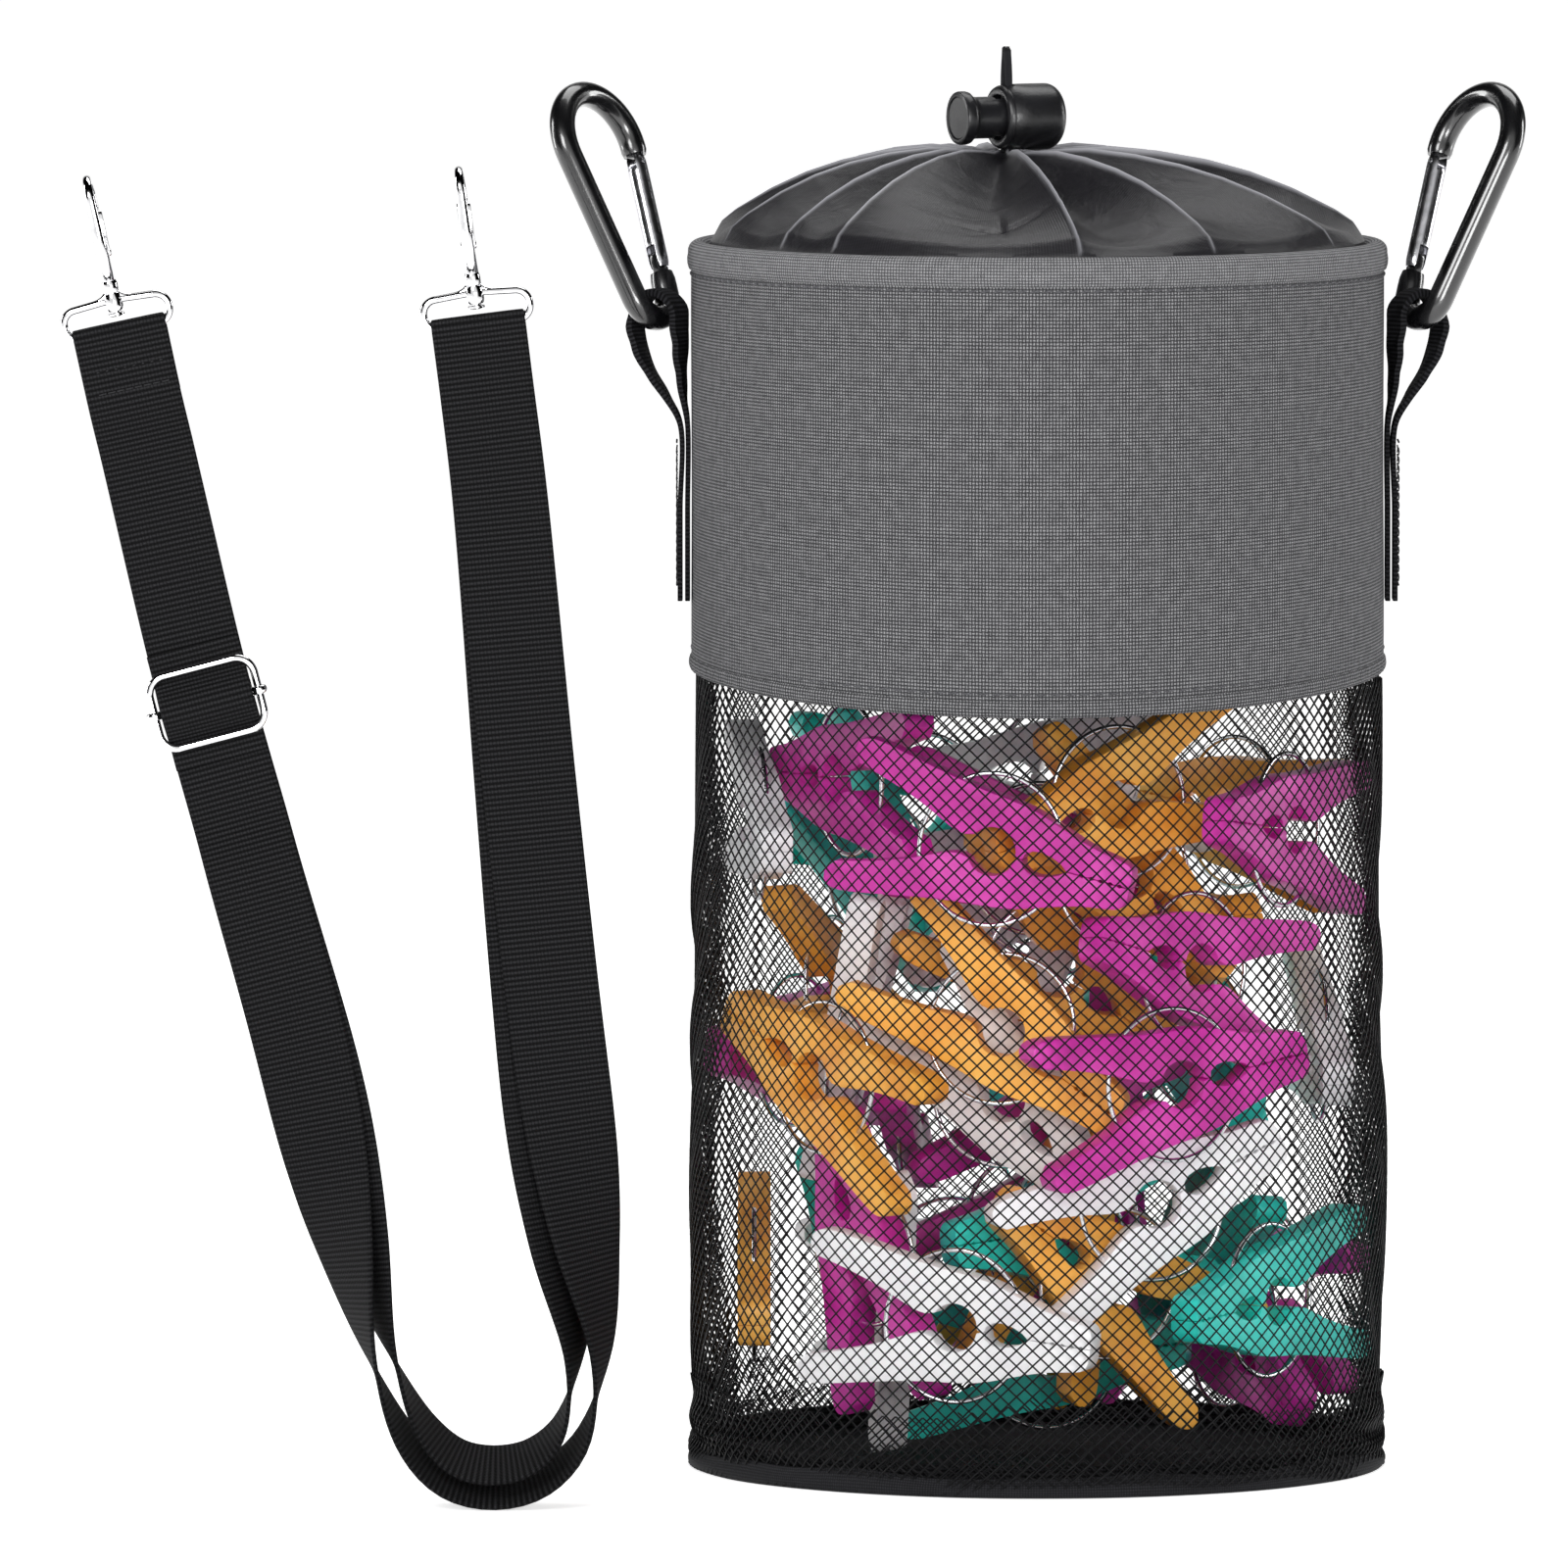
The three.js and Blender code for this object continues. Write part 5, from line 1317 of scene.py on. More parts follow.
WEBBING_WIDTH = 23.0
RAIL_GAP = 0.8
RING_WIRE = 2.2
SLIDER_WIRE = 2.4
STRAP_SPAN, STRAP_HANG = 90.0, 293.0
STRAP_AT = np.array([-231.5, -105.0, 3.453])
STRAP_SHARES = [(0, 1), (0.038, 0.946), (0.099, 0.864), (0.227, 0.697), (0.374, 0.532),
                (0.506, 0.382), (0.622, 0.223), (0.706, 0.117), (0.81, 0.045), (0.915, 0.014),
                (1.04, 0.005), (1.17, 0.014), (1.275, 0.045), (1.331, 0.117), (1.292, 0.223),
                (1.224, 0.382), (1.14, 0.615), (1.059, 0.864), (1.025, 0.946), (1, 1.006)]
STRAP_LINE = smooth_line([(STRAP_SPAN * x, 0.0, STRAP_HANG * z) for x, z in STRAP_SHARES], 2400)
STRAP_RUN = run_lengths(STRAP_LINE)
STRAP_LENGTH = float(STRAP_RUN[-1])
SLIDER_PLACE = STRAP_LENGTH * 0.154
STRAP_BOTTOM = STRAP_LENGTH * 0.5
STRAP_TWIST, TWIST_REACH = math.radians(108), 145.0
SLIDE_DOWN, SLIDE_UP = 15.0, 50.0
BAR_PITCH = 9.3
RING_WRAP = RING_WIRE / 2 + 0.3 + 0.6
BAR_WRAP = SLIDER_WIRE / 2 + 0.3 + 0.6
CREST = BAR_WRAP + 1.2 + 0.6


def strap_frame(along):
    within = min(max(along, 0.0), STRAP_LENGTH)

    def at(length):
        return np.array([np.interp(length, STRAP_RUN, STRAP_LINE[:, a]) for a in range(3)])

    point = at(within)
    run = at(min(within + 1.0, STRAP_LENGTH)) - at(max(within - 1.0, 0.0))
    run /= np.linalg.norm(run)
    return point + run * (along - within), np.array([-run[2], 0.0, run[0]])


def on_strap(along, upward):
    """Place and axes of a piece on the strap, X along its bar and Z up the strap."""
    point, inward = strap_frame(along)
    up = np.array([-inward[2], 0.0, inward[0]]) * -upward
    return tuple(point + STRAP_AT), (up[2], 0.0, -up[0]), (0.0, 1.0, 0.0), tuple(up)


def webbing_place(along, off, across, station):
    point, inward = strap_frame(along)
    from_bottom = min(1.0, abs(along - STRAP_BOTTOM) / TWIST_REACH)
    angle = math.pi - STRAP_TWIST * math.cos(math.pi / 2 * from_bottom) ** 2
    depth = np.array([0.0, 1.0, 0.0])
    return (point + STRAP_AT
            + inward * (across * math.cos(angle) - off * math.sin(angle) + station[4])
            + depth * (across * math.sin(angle) + off * math.cos(angle)))


def slider_dip(along):
    """How far back the webbing lies where the slider runs along it."""
    low = SLIDER_PLACE - SLIDE_UP - BAR_PITCH - 4
    high = SLIDER_PLACE + SLIDE_DOWN + BAR_PITCH + 4
    fade = 16.0
    if along < low - fade or along > high + fade:
        return 0.0
    share = min(1.0, (along - low + fade) / fade, (high + fade - along) / fade)
    return -4.45 * share * share * (3 - 2 * share)


def inner_shift(along):
    share = max(0.0, (along - SLIDER_PLACE) / (STRAP_LENGTH - SLIDER_PLACE))
    return 5.0 * math.sin(math.pi * min(1.0, share)) ** 2


def build_strap():
    ply, width, layer = 1.2, WEBBING_WIDTH, 0.85

    def station(along, off, shift=0.0):
        return (along, off, ply, width, shift)

    def end_wrap(centre, direction):
        reach = direction * RING_WRAP
        return [
            station(centre + reach * math.cos(a), reach * math.sin(a))
            for a in np.linspace(math.pi / 2, -math.pi / 2, 13)
        ]

    def front(start, end):
        return [station(a, layer + slider_dip(a))
                for a in np.linspace(start, end, max(2, int((end - start) / 3.0)))]

    def back(start, end, step=3.0):
        return [station(a, -layer + slider_dip(a), inner_shift(a))
                for a in np.linspace(start, end, max(2, int(abs(end - start) / step)))]

    split = SLIDER_PLACE + 118.0
    first = [station(17.0, -layer - 0.1), station(12.5, -layer - 0.1), station(6.0, -1.3)]
    middle = end_wrap(0.0, -1.0) + [station(5.0, 1.5)]
    front_part = front(12.5, STRAP_LENGTH - 12.5) + [station(STRAP_LENGTH - 5.0, 1.5)]
    last = end_wrap(STRAP_LENGTH, 1.0) + [station(STRAP_LENGTH - 5.0, -1.5)]
    stations = first + middle + front_part + last + back(STRAP_LENGTH - 12.5, split)
    webbing = strip("strap_long_webbing", stations, webbing_place, WEBBING, 15)
    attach(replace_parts(webbing, "strap_webbing"), "bag")

    tail = back(split - 0.02, SLIDER_PLACE - 3.0, 2.5)
    inner = strip("strap_return_webbing", tail, webbing_place, WEBBING, 15)
    start, _ = strap_frame(split - 4.0)
    end, _ = strap_frame(SLIDER_PLACE + 8.0)
    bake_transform(inner)

    crest = [
        (-BAR_PITCH - 5.5, -BAR_WRAP - 0.35), (-BAR_PITCH - 2.6, -BAR_WRAP - 0.2),
        (-BAR_PITCH, -BAR_WRAP), (-BAR_PITCH + 2.2, -BAR_WRAP + 1.2), (-5.2, 0.9),
        (-3.2, 2.7), (-1.4, CREST - 0.2), (0.0, CREST), (1.4, CREST - 0.2), (3.2, 2.7),
        (5.2, 0.9), (BAR_PITCH - 2.2, -BAR_WRAP + 1.2), (BAR_PITCH, -BAR_WRAP),
        (BAR_PITCH + 2.6, -BAR_WRAP - 0.2), (BAR_PITCH + 5.5, -BAR_WRAP - 0.35),
    ]
    over = fine_stations([(a, o, ply, width) for a, o in crest], 0.9)
    wrap = [(BAR_PITCH * 0.9, -BAR_WRAP - 0.9, ply, width), (4.0, -BAR_WRAP - 0.3, ply, width)]
    wrap += [(BAR_WRAP * math.cos(a), BAR_WRAP * math.sin(a), ply, width)
             for a in np.linspace(-math.pi / 2, -1.5 * math.pi, 13)]
    wrap += [(4.0, BAR_WRAP - 0.9, ply, width)]

    def local(along, off, across, _station):
        return (-across, -off, -along)

    for name, line in (("slider_crest_webbing", over), ("slider_bar_fold", wrap)):
        fold = strip(name, line, local, WEBBING, 15)
        placed(fold, *on_strap(SLIDER_PLACE, -1))
        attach(fold, "slider")

    rows = []
    for along, face, off in ((14.5, 1, 1.5), (9.0, 1, 1.5), (14.5, -1, 1.62)):
        for across in np.arange(-8.6, 8.7, 2.3):
            rows.append([webbing_place(along, face * (off + rise), across + d, station(0, 0))
                         for d, rise in ((-0.8, 0.0), (0.0, 0.12), (0.8, 0.0))])
    sewn = tubes("strap_tail_stitches", rows, 0.2, BLACK_THREAD, sides=6)
    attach(sewn, "bag")


def rounded_loop(half_width, bottom, top, corner, steps=10):
    points = []
    for x, z, quarter in ((half_width, top, 0), (-half_width, top, 1),
                          (-half_width, bottom, 2), (half_width, bottom, 3)):
        centre_x = x - math.copysign(corner, x)
        centre_z = z + (-corner if quarter < 2 else corner)
        start = quarter * math.pi / 2
        points += arc(centre_x, centre_z, corner, start, start + math.pi / 2, steps)
    dense = []
    for k, p in enumerate(points):
        q = points[(k + 1) % len(points)]
        gap = math.dist(p, q)
        pieces = max(1, int(gap / 2.0))
        dense += [(p[0] + (q[0] - p[0]) * s / pieces, 0.0, p[1] + (q[1] - p[1]) * s / pieces)
                  for s in range(pieces)]
    return np.array(dense)


def build_slider():
    half_width = WEBBING_WIDTH / 2 + RAIL_GAP + SLIDER_WIRE / 2
    loop = tube("slider_wire_frame", rounded_loop(half_width, -BAR_PITCH, BAR_PITCH, 4.6), 0.98,
                CHROME, sides=24, closed=True, start=(0.0, 1.0, 0.0))
    bar_line = [(x, 0.0, 0.0) for x in np.linspace(-half_width + 1.4, half_width - 1.4, 12)]
    wires = Wires()
    wires.add(bar_line, 1.05, sides=20, round_ends=False)
    turns = np.linspace(-0.82 * math.pi, 0.82 * math.pi, 26)
    for side in (-1, 1):
        collar = [(side * (half_width + 1.6 * math.cos(a)), 1.6 * math.sin(a), 0.0) for a in turns]
        wires.add(collar, 0.55, sides=12, flatten=1.9, start=(1.0, 0.0, 0.0))
    bar = wires.mesh("slider_centre_bar", CHROME)
    for made, node in ((loop, "slider_frame"), (bar, "slider_bar")):
        placed(made, *on_strap(SLIDER_PLACE, -1))
        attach(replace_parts(made, node), "slider")


HOOK_FOOT = 7.4 - 2.3 + 4.6 + 0.3
CLAW_FOOT = HOOK_FOOT + 3.6 - 1.0
CLAW_HALF, HOOK_WIRE, HOOK_HEIGHT = 7.0, 2.8, 28.0
LUG_TOP = CLAW_FOOT + HOOK_HEIGHT / 3
LUG_INNER = CLAW_HALF - HOOK_WIRE - 0.6
RIVET_AT = ((CLAW_HALF + LUG_INNER) / 2, LUG_TOP - HOOK_WIRE / 1.3)
CLAW_TIP = CLAW_FOOT + HOOK_HEIGHT * 0.66


def build_hook(label):
    put_at = on_strap(0.0, -1) if label == "left" else on_strap(STRAP_LENGTH, 1)
    half_width = WEBBING_WIDTH / 2 + RAIL_GAP + RING_WIRE / 2
    ring_line = rounded_loop(half_width, 0.0, 7.4, 3.4)
    crowned = np.clip(1 - np.abs(ring_line[:, 0]) / (half_width - 3.4), 0, 1)
    ring_line[:, 2] += 0.7 * crowned * (ring_line[:, 2] > 6.0)
    loop = tube(f"{label}_ring_wire", ring_line, 0.98, CHROME, sides=20, closed=True,
                start=(0.0, 1.0, 0.0))
    flare_profile = [
        (1.65, 5.2), (1.9, 5.2), (2.15, 5.5), (2.3, 6.2), (2.35, 7.8), (2.2, 8.7), (2.05, 9.4),
        (1.95, 9.7), (1.65, 9.7),
    ]
    boss = lathe(f"{label}_swivel_boss", flare_profile, 40, CHROME)
    shade_by_angle(boss, 45)
    fillet = [(1.6, 9.5), (2.4, 8.8), (3.8, 8.2), (6.4, 7.8)]
    gussets = [[(side * x, 0.0, z) for x, z in fillet] for side in (-1, 1)]
    web = tubes(f"{label}_boss_fillets", gussets, 0.72, CHROME, sides=14)

    post_profile = [
        (0.05, 3.9), (1.9, 3.9), (2.2, 4.1), (2.2, 4.6), (1.9, 4.85), (1.4, 4.85), (1.4, 9.9),
        (1.85, 9.95), (2.0, 10.3), (2.0, 12.2), (1.7, 13.2), (1.2, 13.8), (0.05, 13.9),
    ]
    post = lathe(f"{label}_swivel_post", post_profile, 36, CHROME)
    shade_by_angle(post, 45)
    top_centre = CLAW_FOOT + HOOK_HEIGHT - CLAW_HALF
    middle = CLAW_HALF - HOOK_WIRE / 2
    path = [(0.0, CLAW_FOOT + 0.6), (-2.4, CLAW_FOOT + 2.8), (-4.6, CLAW_FOOT + 6.0),
            (-middle, LUG_TOP + 1.0), (-middle, LUG_TOP + 6.0)]
    path += arc(0, top_centre, middle, math.pi, 0, 16)
    path += [(middle, CLAW_TIP + 1.5), (middle, CLAW_TIP + 0.4)]
    line = smooth_line([(0.0, x, z) for x, z in path], 70)
    rise = np.clip((line[:, 2] - CLAW_FOOT) / HOOK_HEIGHT, 0, 1)
    wires = Wires()
    wires.add(line, 1.75 - 0.75 * rise, sides=20, flatten=0.86, start=(1.0, 0.0, 0.0))
    lug_path = [(0.0, x, z) for x, z in (
        (0.3, CLAW_FOOT + 1.0), (2.8, CLAW_FOOT + 3.0), (4.9, CLAW_FOOT + 5.8),
        (RIVET_AT[0], LUG_TOP - 1.6))]
    wires.add(smooth_line(lug_path, 20), 1.15, sides=16, flatten=0.9, start=(1.0, 0.0, 0.0))
    claw = wires.mesh(f"{label}_hook_claw", CHROME)

    inner, outer = LUG_INNER + 0.2, CLAW_HALF + 0.1
    low, high = RIVET_AT[1] - 1.6, CLAW_TIP - 0.5
    channel = [(x, z) for x, z in (
        (inner, low + 1.0), (outer - 0.8, low), (outer, low + 1.4), (outer, high - 0.6),
        (outer - 0.5, high), (inner + 0.9, high), (inner, high - 1.2))]
    gate = plate(f"{label}_trigger_lever", rounded(channel, 2), 3.5, CHROME, bevel=0)
    hollow = [(inner - 3, low - 3), (outer - 0.9, low - 3), (outer - 0.9, LUG_TOP + 1.2),
              (inner - 3, LUG_TOP + 1.2)]
    cut_with(gate, plate("hollow", hollow, 2.5, CHROME, bevel=0))
    bevelled(gate, 0.28, 2, 40)
    shade_by_angle(gate, 40)
    thumb = plate(f"{label}_trigger_thumb", rounded([
        (outer - 0.5, high - 6.5), (outer + 0.9, high - 5.4), (outer + 1.1, high - 4.4),
        (outer + 0.2, high - 3.6), (outer - 0.5, high - 3.4)], 2), 2.2, CHROME, bevel=0.2)
    rivet_line = [(x, RIVET_AT[0], RIVET_AT[1]) for x in np.linspace(-1.95, 1.95, 8)]
    girths = [0.9, 0.95, 0.75, 0.75, 0.75, 0.75, 0.95, 0.9]
    rivet = tube(f"{label}_trigger_rivet", rivet_line, girths, CHROME, sides=18,
                 start=(0.0, 0.0, 1.0), round_ends=False)
    leaf_line = [(0.0, LUG_INNER - 0.4 - 0.25 * math.sin(s * math.pi), LUG_TOP + s * 7.2)
                 for s in np.linspace(0, 1, 14)]
    leaf = tube(f"{label}_leaf_spring", leaf_line, 0.22, STEEL, sides=10, flatten=3.6,
                start=(0.0, 1.0, 0.0))
    across_gate = Matrix.Rotation(math.pi / 2, 4, "Z")
    for made in (gate, thumb):
        made.data.transform(across_gate)
    bodies = {
        loop: (f"{label}_ring", f"{label}_hook_ring"), boss: (f"{label}_ring", None),
        web: (f"{label}_ring", None), post: (f"{label}_hook", None),
        claw: (f"{label}_hook", f"{label}_hook_body"),
        gate: (f"{label}_trigger", f"{label}_hook_gate"), thumb: (f"{label}_trigger", None),
        rivet: (None, f"{label}_hook_rivet"), leaf: (None, f"{label}_hook_spring"),
    }
    for made, (body, node) in bodies.items():
        placed(made, *put_at)
        if node:
            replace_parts(made, node)
            body = body_of(node)
        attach(made, body)


# Pegs

PEG_HALF, PEG_THICK = 38.5, 8.4


def lever_outline():
    """One lever of a peg, from jaw tip to handle end, in XZ with the other as its mirror."""
    split, hole = 0.08, 6.2
    outer = rounded_open([
        (split, PEG_HALF), (3.4, PEG_HALF), (5.7, 37.3), (6.4, 34.6), (7.5, 27.0), (10.2, 18.5),
        (13.0, 10.5), (14.0, 3.0), (14.6, -4.0), (16.4, -15.0), (19.0, -28.0), (20.0, -34.5),
        (18.8, -38.0), (15.6, -PEG_HALF)])
    inner = rounded_open([(12.8, -36.4), (10.6, -28.0), (7.6, -19.0), (4.6, -12.6),
                          (3.0, -9.0), (2.5, -6.0)])
    ring_part = arc(0.0, 1.87, hole, math.radians(-60), math.radians(86), 14)
    tear = [(split, 9.2), (split, 10.0), (1.6, 10.4), (2.8, 12.2), (3.1, 14.4), (2.6, 17.2),
            (1.4, 20.0), (split, 21.6)]
    teeth = [(split, 24.0)]
    for k in range(5):
        z = 25.0 + 2.5 * k
        teeth += [(split, z), (split + 0.4, z + 0.8), (split, z + 1.6)]
    return outer + inner + ring_part + tear + teeth


def rounded_open(points, cuts=2):
    pts = [np.array(p, float) for p in points]
    for _ in range(cuts):
        made = [pts[0]]
        for a, b in zip(pts[:-1], pts[1:]):
            made += [a + 0.25 * (b - a), a + 0.75 * (b - a)]
        made.append(pts[-1])
        pts = made
    return [tuple(p) for p in pts]


def peg_mesh():
    """Both levers of a peg and its wire ring in one mesh: slot 0 plastic, slot 1 wire."""
    lever = plate("peg_lever", lever_outline(), PEG_THICK, PEG_LOOKS["white"], bevel=0)
    bevelled(lever, 0.9, 3, 38)
    shade_by_angle(lever, 42)
    ring_line = [(19.4 * math.sin(a), 0.0, 1.0 + 18.4 * math.cos(a))
                 for a in np.linspace(math.radians(32), math.radians(328), 44)]
    ring = tube("peg_ring", ring_line, 0.62, STEEL, sides=10, start=(0.0, 1.0, 0.0))
    work = bmesh.new()
    work.from_mesh(lever.data)
    mirrored = bmesh.ops.duplicate(work, geom=[*work.verts, *work.edges, *work.faces])["geom"]
    for part in mirrored:
        if isinstance(part, bmesh.types.BMVert):
            part.co.x = -part.co.x
    turned_faces = [part for part in mirrored if isinstance(part, bmesh.types.BMFace)]
    bmesh.ops.reverse_faces(work, faces=turned_faces)
    first = len(work.faces)
    work.from_mesh(ring.data)
    work.faces.ensure_lookup_table()
    for face in work.faces[first:]:
        face.material_index = 1
    whole = bpy.data.meshes.new("peg_whole")
    work.to_mesh(whole)
    work.free()
    for used in (lever, ring):
        bpy.data.objects.remove(used)
    for layer in list(whole.uv_layers):
        whole.uv_layers.remove(layer)
    return whole


CAD_PEGS = [
    ("white", -0.05, 0.2, 0.27), ("teal", 0.15, 0.22, 0.74), ("magenta", 0.345, 0.2, 0.22),
    ("white", 0.55, 0.2, 0.77), ("orange", 0.75, 0.22, 0.28), ("orange", -0.135, 0.5, 0.82),
    ("magenta", 0.075, 0.5, 0.22), ("white", 0.27, 0.52, 0.72), ("teal", 0.46, 0.5, 0.3),
    ("magenta", 0.66, 0.5, 0.24), ("magenta", -0.03, 0.8, 0.29), ("magenta", 0.17, 0.81, 0.77),
    ("orange", 0.37, 0.8, 0.23), ("teal", 0.57, 0.8, 0.72), ("white", 0.77, 0.81, 0.27),
    ("orange", 0.06, 0.24, 0.85), ("teal", 0.65, 0.24, 0.1), ("orange", -0.03, 0.57, 0.35),
    ("teal", 0.36, 0.52, 0.6), ("orange", 0.07, 0.85, 0.7), ("white", 0.47, 0.85, 0.25),
    ("magenta", 0.825, 0.87, 0.75),
]

# More pegs in the heap: colour, turns round the bag from the front, height of the middle in
# millimetres, turns from jaws up, tip towards the axis and roll, in degrees
MORE_PEGS = [
    ("white", -0.041, 99, 0.383, 4, -4), ("orange", 0.031, 129, 0.347, 5, 4),
    ("magenta", -0.029, 156, 0.292, -5, 3), ("magenta", 0.041, 176, 0.694, 4, -4),
    ("magenta", 0.109, 131, 0.792, -4, 5), ("magenta", 0.065, 99, 0.222, 5, -3),
    ("orange", -0.1, 89, 0.875, -6, 5), ("teal", 0.068, 63, 0.736, -4, 5),
    ("magenta", -0.131, 57, 0.967, 5, -4), ("magenta", 0.176, 60, 0.986, 6, -3),
    ("orange", 0.065, 35, 0.861, 4, 4), ("white", 0.128, 35, 0.889, -5, 6),
    ("teal", -0.073, 144, 0.3, 5, -5), ("teal", 0.083, 161, 0.6, -6, 4),
    ("white", -0.139, 129, 0.45, 6, 5), ("orange", -0.125, 161, 0.7, -4, -6),
    ("teal", 0.2, 99, 0.5, 5, 5), ("orange", 0.142, 169, 0.35, 6, -5),
    ("teal", -0.068, 25, 0.7, -6, 4), ("white", -0.194, 45, 0.1, 5, -5),
    ("teal", -0.188, 69, 0.6, -5, 5),
    ("teal", 0.3, 60, 0.35, 5, 4), ("orange", 0.33, 130, 0.8, -5, 4),
    ("magenta", 0.42, 90, 0.55, 5, -4), ("white", 0.4, 40, 0.2, -4, 5),
    ("orange", 0.52, 110, 0.3, 4, 4), ("magenta", 0.5, 60, 0.85, -5, -4),
    ("teal", 0.62, 150, 0.6, 5, 5), ("white", 0.66, 60, 0.4, -5, 4),
    ("orange", 0.7, 120, 0.7, 5, -5), ("teal", 0.8, 40, 0.15, -4, 4),
    ("magenta", 0.88, 80, 0.5, 4, 5), ("white", 0.85, 120, 0.9, -5, 4),
    ("magenta", 0.0, 60, 0.1, 10, 0), ("orange", 0.2, 120, 0.6, -8, 6),
    ("white", 0.5, 150, 0.8, 8, -6), ("teal", 0.9, 160, 0.2, 6, 8),
]


HEAP_PEGS = 600
HEAP_TOP = 194.0
HEAP_RADIUS = 85.6


def build_pegs():
    shape = peg_mesh()
    slots = np.array([face.material_index for face in shape.polygons], np.int32)
    plain = plate("peg_hull", [
        (-3.4, 38.5), (-6.4, 35.5), (-11.8, 15), (-14, 3), (-20, -36), (-16, -38.5), (-1.5, -9.0),
        (1.5, -9.0), (16, -38.5), (20, -36), (14, 3), (11.8, 15), (6.4, 35.5), (3.4, 38.5)],
        PEG_THICK + 0.2, STEEL, bevel=0)
    hull = bmesh.new()
    hull.from_mesh(plain.data)
    bmesh.ops.triangulate(hull, faces=hull.faces)
    hull_points = [v.co.copy() for v in hull.verts]
    hull_faces = [[v.index for v in f.verts] for f in hull.faces]
    hull.free()
    bpy.data.objects.remove(plain)

    def add_peg(name, look, matrix):
        mesh = shape.copy()
        mesh.transform(matrix)
        mesh.materials.clear()
        mesh.materials.append(PEG_LOOKS[look])
        mesh.materials.append(STEEL)
        mesh.polygons.foreach_set("material_index", slots)
        made = link_new(name, mesh)
        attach(made, "bag")
        return made

    def tree_at(matrix):
        return BVHTree.FromPolygons([matrix @ p for p in hull_points], hull_faces)

    trees = []
    for k, (look, turns, share, tilt) in enumerate(CAD_PEGS):
        node = f"peg_{k + 1:02d}"
        around = Matrix.Rotation(TAU * turns, 4, "Z")
        outward = (around @ Vector((0, -1, 0, 0))).to_3d()
        depths = [outward.dot(v.co) for v in frame["nodes"][node].data.vertices]
        depth = (min(depths) + max(depths)) / 2
        height = (BASE_THICKNESS + (HEM_BOTTOM - BASE_THICKNESS) * share) * MM
        matrix = (around @ Matrix.Translation((0, -depth, height))
                  @ Matrix.Rotation(TAU * tilt, 4, "Y"))
        made = add_peg(f"clothes_{node}", look, matrix)
        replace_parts(made, node)
        trees.append((matrix.translation.copy(), tree_at(matrix)))

    def free(matrix):
        reach = 2.26 * PEG_HALF * MM
        tree = tree_at(matrix)
        near = (other for at, other in trees if (at - matrix.translation).length < reach)
        return not any(tree.overlap(other) for other in near)

    wanted = [peg + (82.0, 1.0) for peg in MORE_PEGS]
    state = np.random.default_rng(5)
    for k in range(HEAP_PEGS):
        look = ("magenta", "teal", "orange", "white")[k % 4]
        wanted.append((look, state.random(), state.uniform(16, HEAP_TOP - 14), state.random(),
                       state.normal(0, 12), state.normal(0, 12), 80.0, 4.0))
    for k, (look, turns, height, tilt, lean, roll, depth, step) in enumerate(wanted):
        around = Matrix.Rotation(TAU * turns, 4, "Z")
        spin = (Matrix.Rotation(math.radians(lean), 4, "X")
                @ Matrix.Rotation(math.radians(roll), 4, "Z")
                @ Matrix.Rotation(TAU * tilt, 4, "Y"))
        matrix = None
        while depth > 0:
            trial = around @ Matrix.Translation((0, -depth * MM, height * MM)) @ spin
            corners = [trial @ p for p in hull_points]
            inside = all(
                math.hypot(c.x, c.y) < HEAP_RADIUS * MM and 0.0022 < c.z < HEAP_TOP * MM
                for c in corners
            )
            if inside and free(trial):
                matrix = trial
                break
            depth -= step
        if matrix is not None:
            add_peg(f"loose_peg_{k + 1:02d}", look, matrix)
            trees.append((matrix.translation.copy(), tree_at(matrix)))
    bpy.data.meshes.remove(shape)


# Studio

FLOOR_HALF = 30.0
FLOOR_GLOW = 0.62
WORLD_LIGHT = 0.5
WORLD_SEEN_MORE = 0.55
WORLD_GLOSSY_MORE = 0.5
# Brightness of what metal reflects, from the direction of the camera to the far side
CARDS = [(0.0, 0.9), (0.1, 0.9), (0.17, 0.05), (0.22, 0.0), (0.9, 0.0), (0.97, 0.8)]


def build_stage():
    floor = link_new("floor", bpy.data.meshes.new("floor"))
    corners = [(-1, -1), (1, -1), (1, 1), (-1, 1)]
    floor.data.from_pydata([(FLOOR_HALF * x, FLOOR_HALF * y, 0) for x, y in corners], [],
                           [(0, 1, 2, 3)])
    material = bpy.data.materials.new("white_floor")
    material.use_nodes = True
    material.node_tree.nodes.clear()
    nodes = Nodes(material.node_tree)
    path = nodes.node("ShaderNodeLightPath").outputs
    seen = nodes.math("MAXIMUM", path["Is Glossy Ray"], path["Is Transmission Ray"])
    seen = nodes.math("MAXIMUM", path["Is Camera Ray"], seen)
    strength = nodes.math("MULTIPLY", seen, FLOOR_GLOW)
    glow = nodes.node("ShaderNodeEmission", {"Color": (1, 1, 1, 1), "Strength": strength})
    diffuse = nodes.node("ShaderNodeBsdfDiffuse", {"Color": (0.8, 0.8, 0.8, 1)})
    both = nodes.node("ShaderNodeAddShader", {0: diffuse.outputs[0], 1: glow.outputs[0]})
    nodes.node("ShaderNodeOutputMaterial", {"Surface": both.outputs[0]})
    floor.data.materials.append(material)


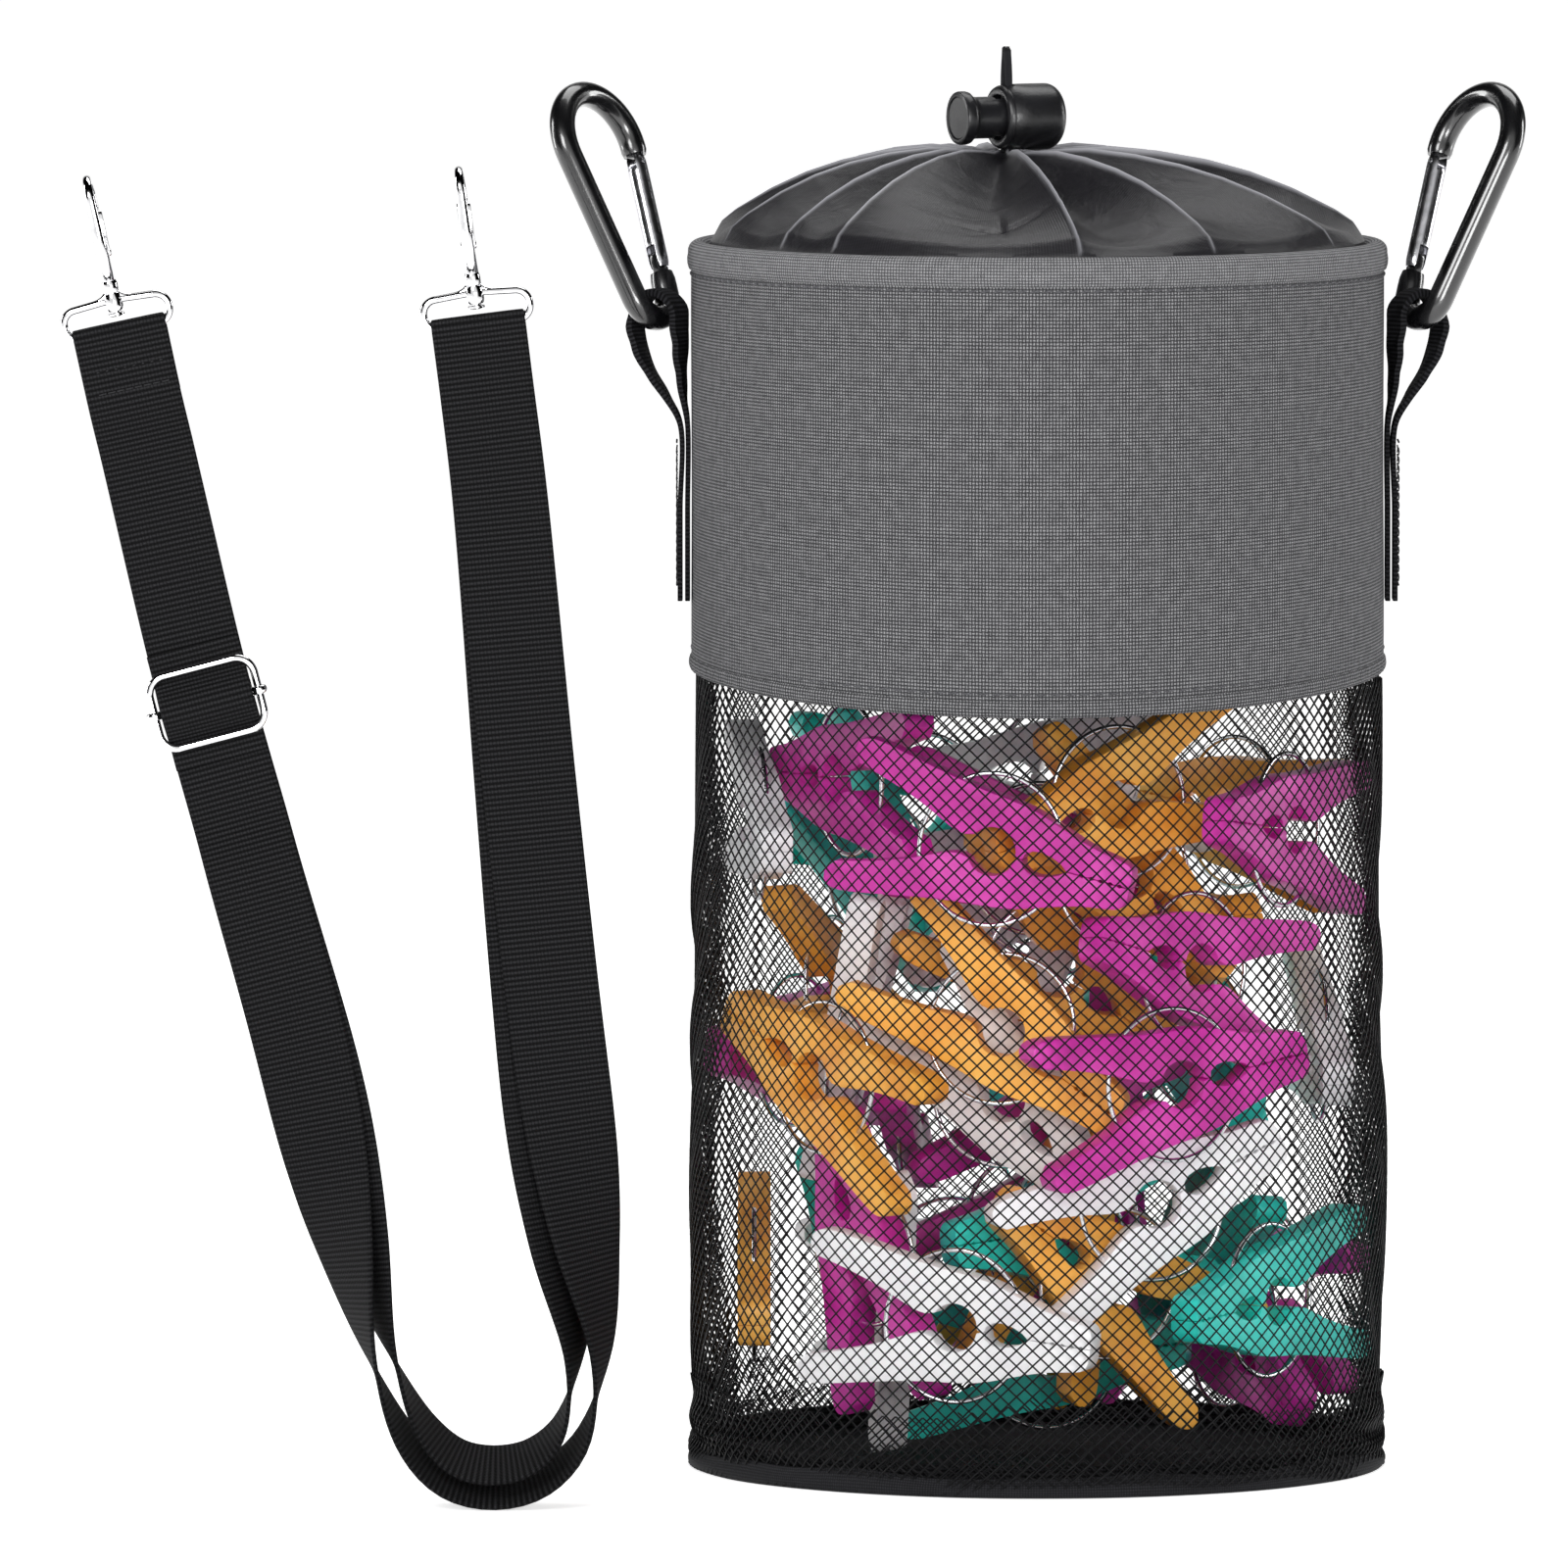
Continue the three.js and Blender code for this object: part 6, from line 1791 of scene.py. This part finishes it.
def build_world():
    """White to the camera; metal sees white ahead and behind and black at its sides."""
    world = bpy.data.worlds.new("studio")
    bpy.context.scene.world = world
    world.use_nodes = True
    nodes = Nodes(world.node_tree)
    path = nodes.node("ShaderNodeLightPath").outputs
    glossy = path["Is Glossy Ray"]
    direction = nodes.node("ShaderNodeTexCoord").outputs["Generated"]
    depth = nodes.node("ShaderNodeSeparateXYZ", {0: direction}).outputs["Y"]
    cards = nodes.ramp(nodes.math("MULTIPLY_ADD", depth, 0.5, 0.5), CARDS)
    seen = nodes.math("MAXIMUM", path["Is Camera Ray"], path["Is Transmission Ray"])
    strength = nodes.math("MULTIPLY_ADD", seen, WORLD_SEEN_MORE, WORLD_LIGHT)
    background = world.node_tree.nodes["Background"]
    nodes.put(background.inputs["Color"], nodes.mix(glossy, (1, 1, 1, 1), cards))
    strength = nodes.math("MULTIPLY_ADD", glossy, WORLD_GLOSSY_MORE, strength)
    nodes.put(background.inputs["Strength"], strength)


def area_light(name, place, aim, size, power):
    data = bpy.data.lights.new(name, "AREA")
    data.shape = "RECTANGLE"
    data.size, data.size_y = size
    data.energy = power
    lamp = link_new(name, data)
    lamp.location = place
    lamp.rotation_euler = (Vector(aim) - Vector(place)).to_track_quat("-Z", "Y").to_euler()


build_stage()
build_world()
area_light("key", (-0.9, -1.9, 1.3), (-0.05, 0, 0.18), (0.8, 0.8), 24.0)
area_light("front", (0.4, -2.4, 0.45), (0.0, 0, 0.12), (0.8, 0.6), 24.0)
area_light("top", (0.2, 0.7, 1.9), (-0.05, 0, 0.2), (1.4, 1.0), 14.0)
area_light("left_edge", (-1.6, 0.5, 0.5), (-0.08, 0, 0.2), (0.3, 0.9), 8.0)
area_light("right_edge", (1.6, 0.5, 0.5), (0.08, 0, 0.2), (0.3, 0.9), 8.0)

build_collar()
build_net()
build_closure()
build_cord_lock()
build_drawcord()
build_tabs()
for which in ("left", "right"):
    build_carabiner(which)
    build_hook(which)
build_strap()
build_slider()
build_pegs()

bpy.context.scene.view_settings.view_transform = "Standard"

bpy.context.view_layer.update()
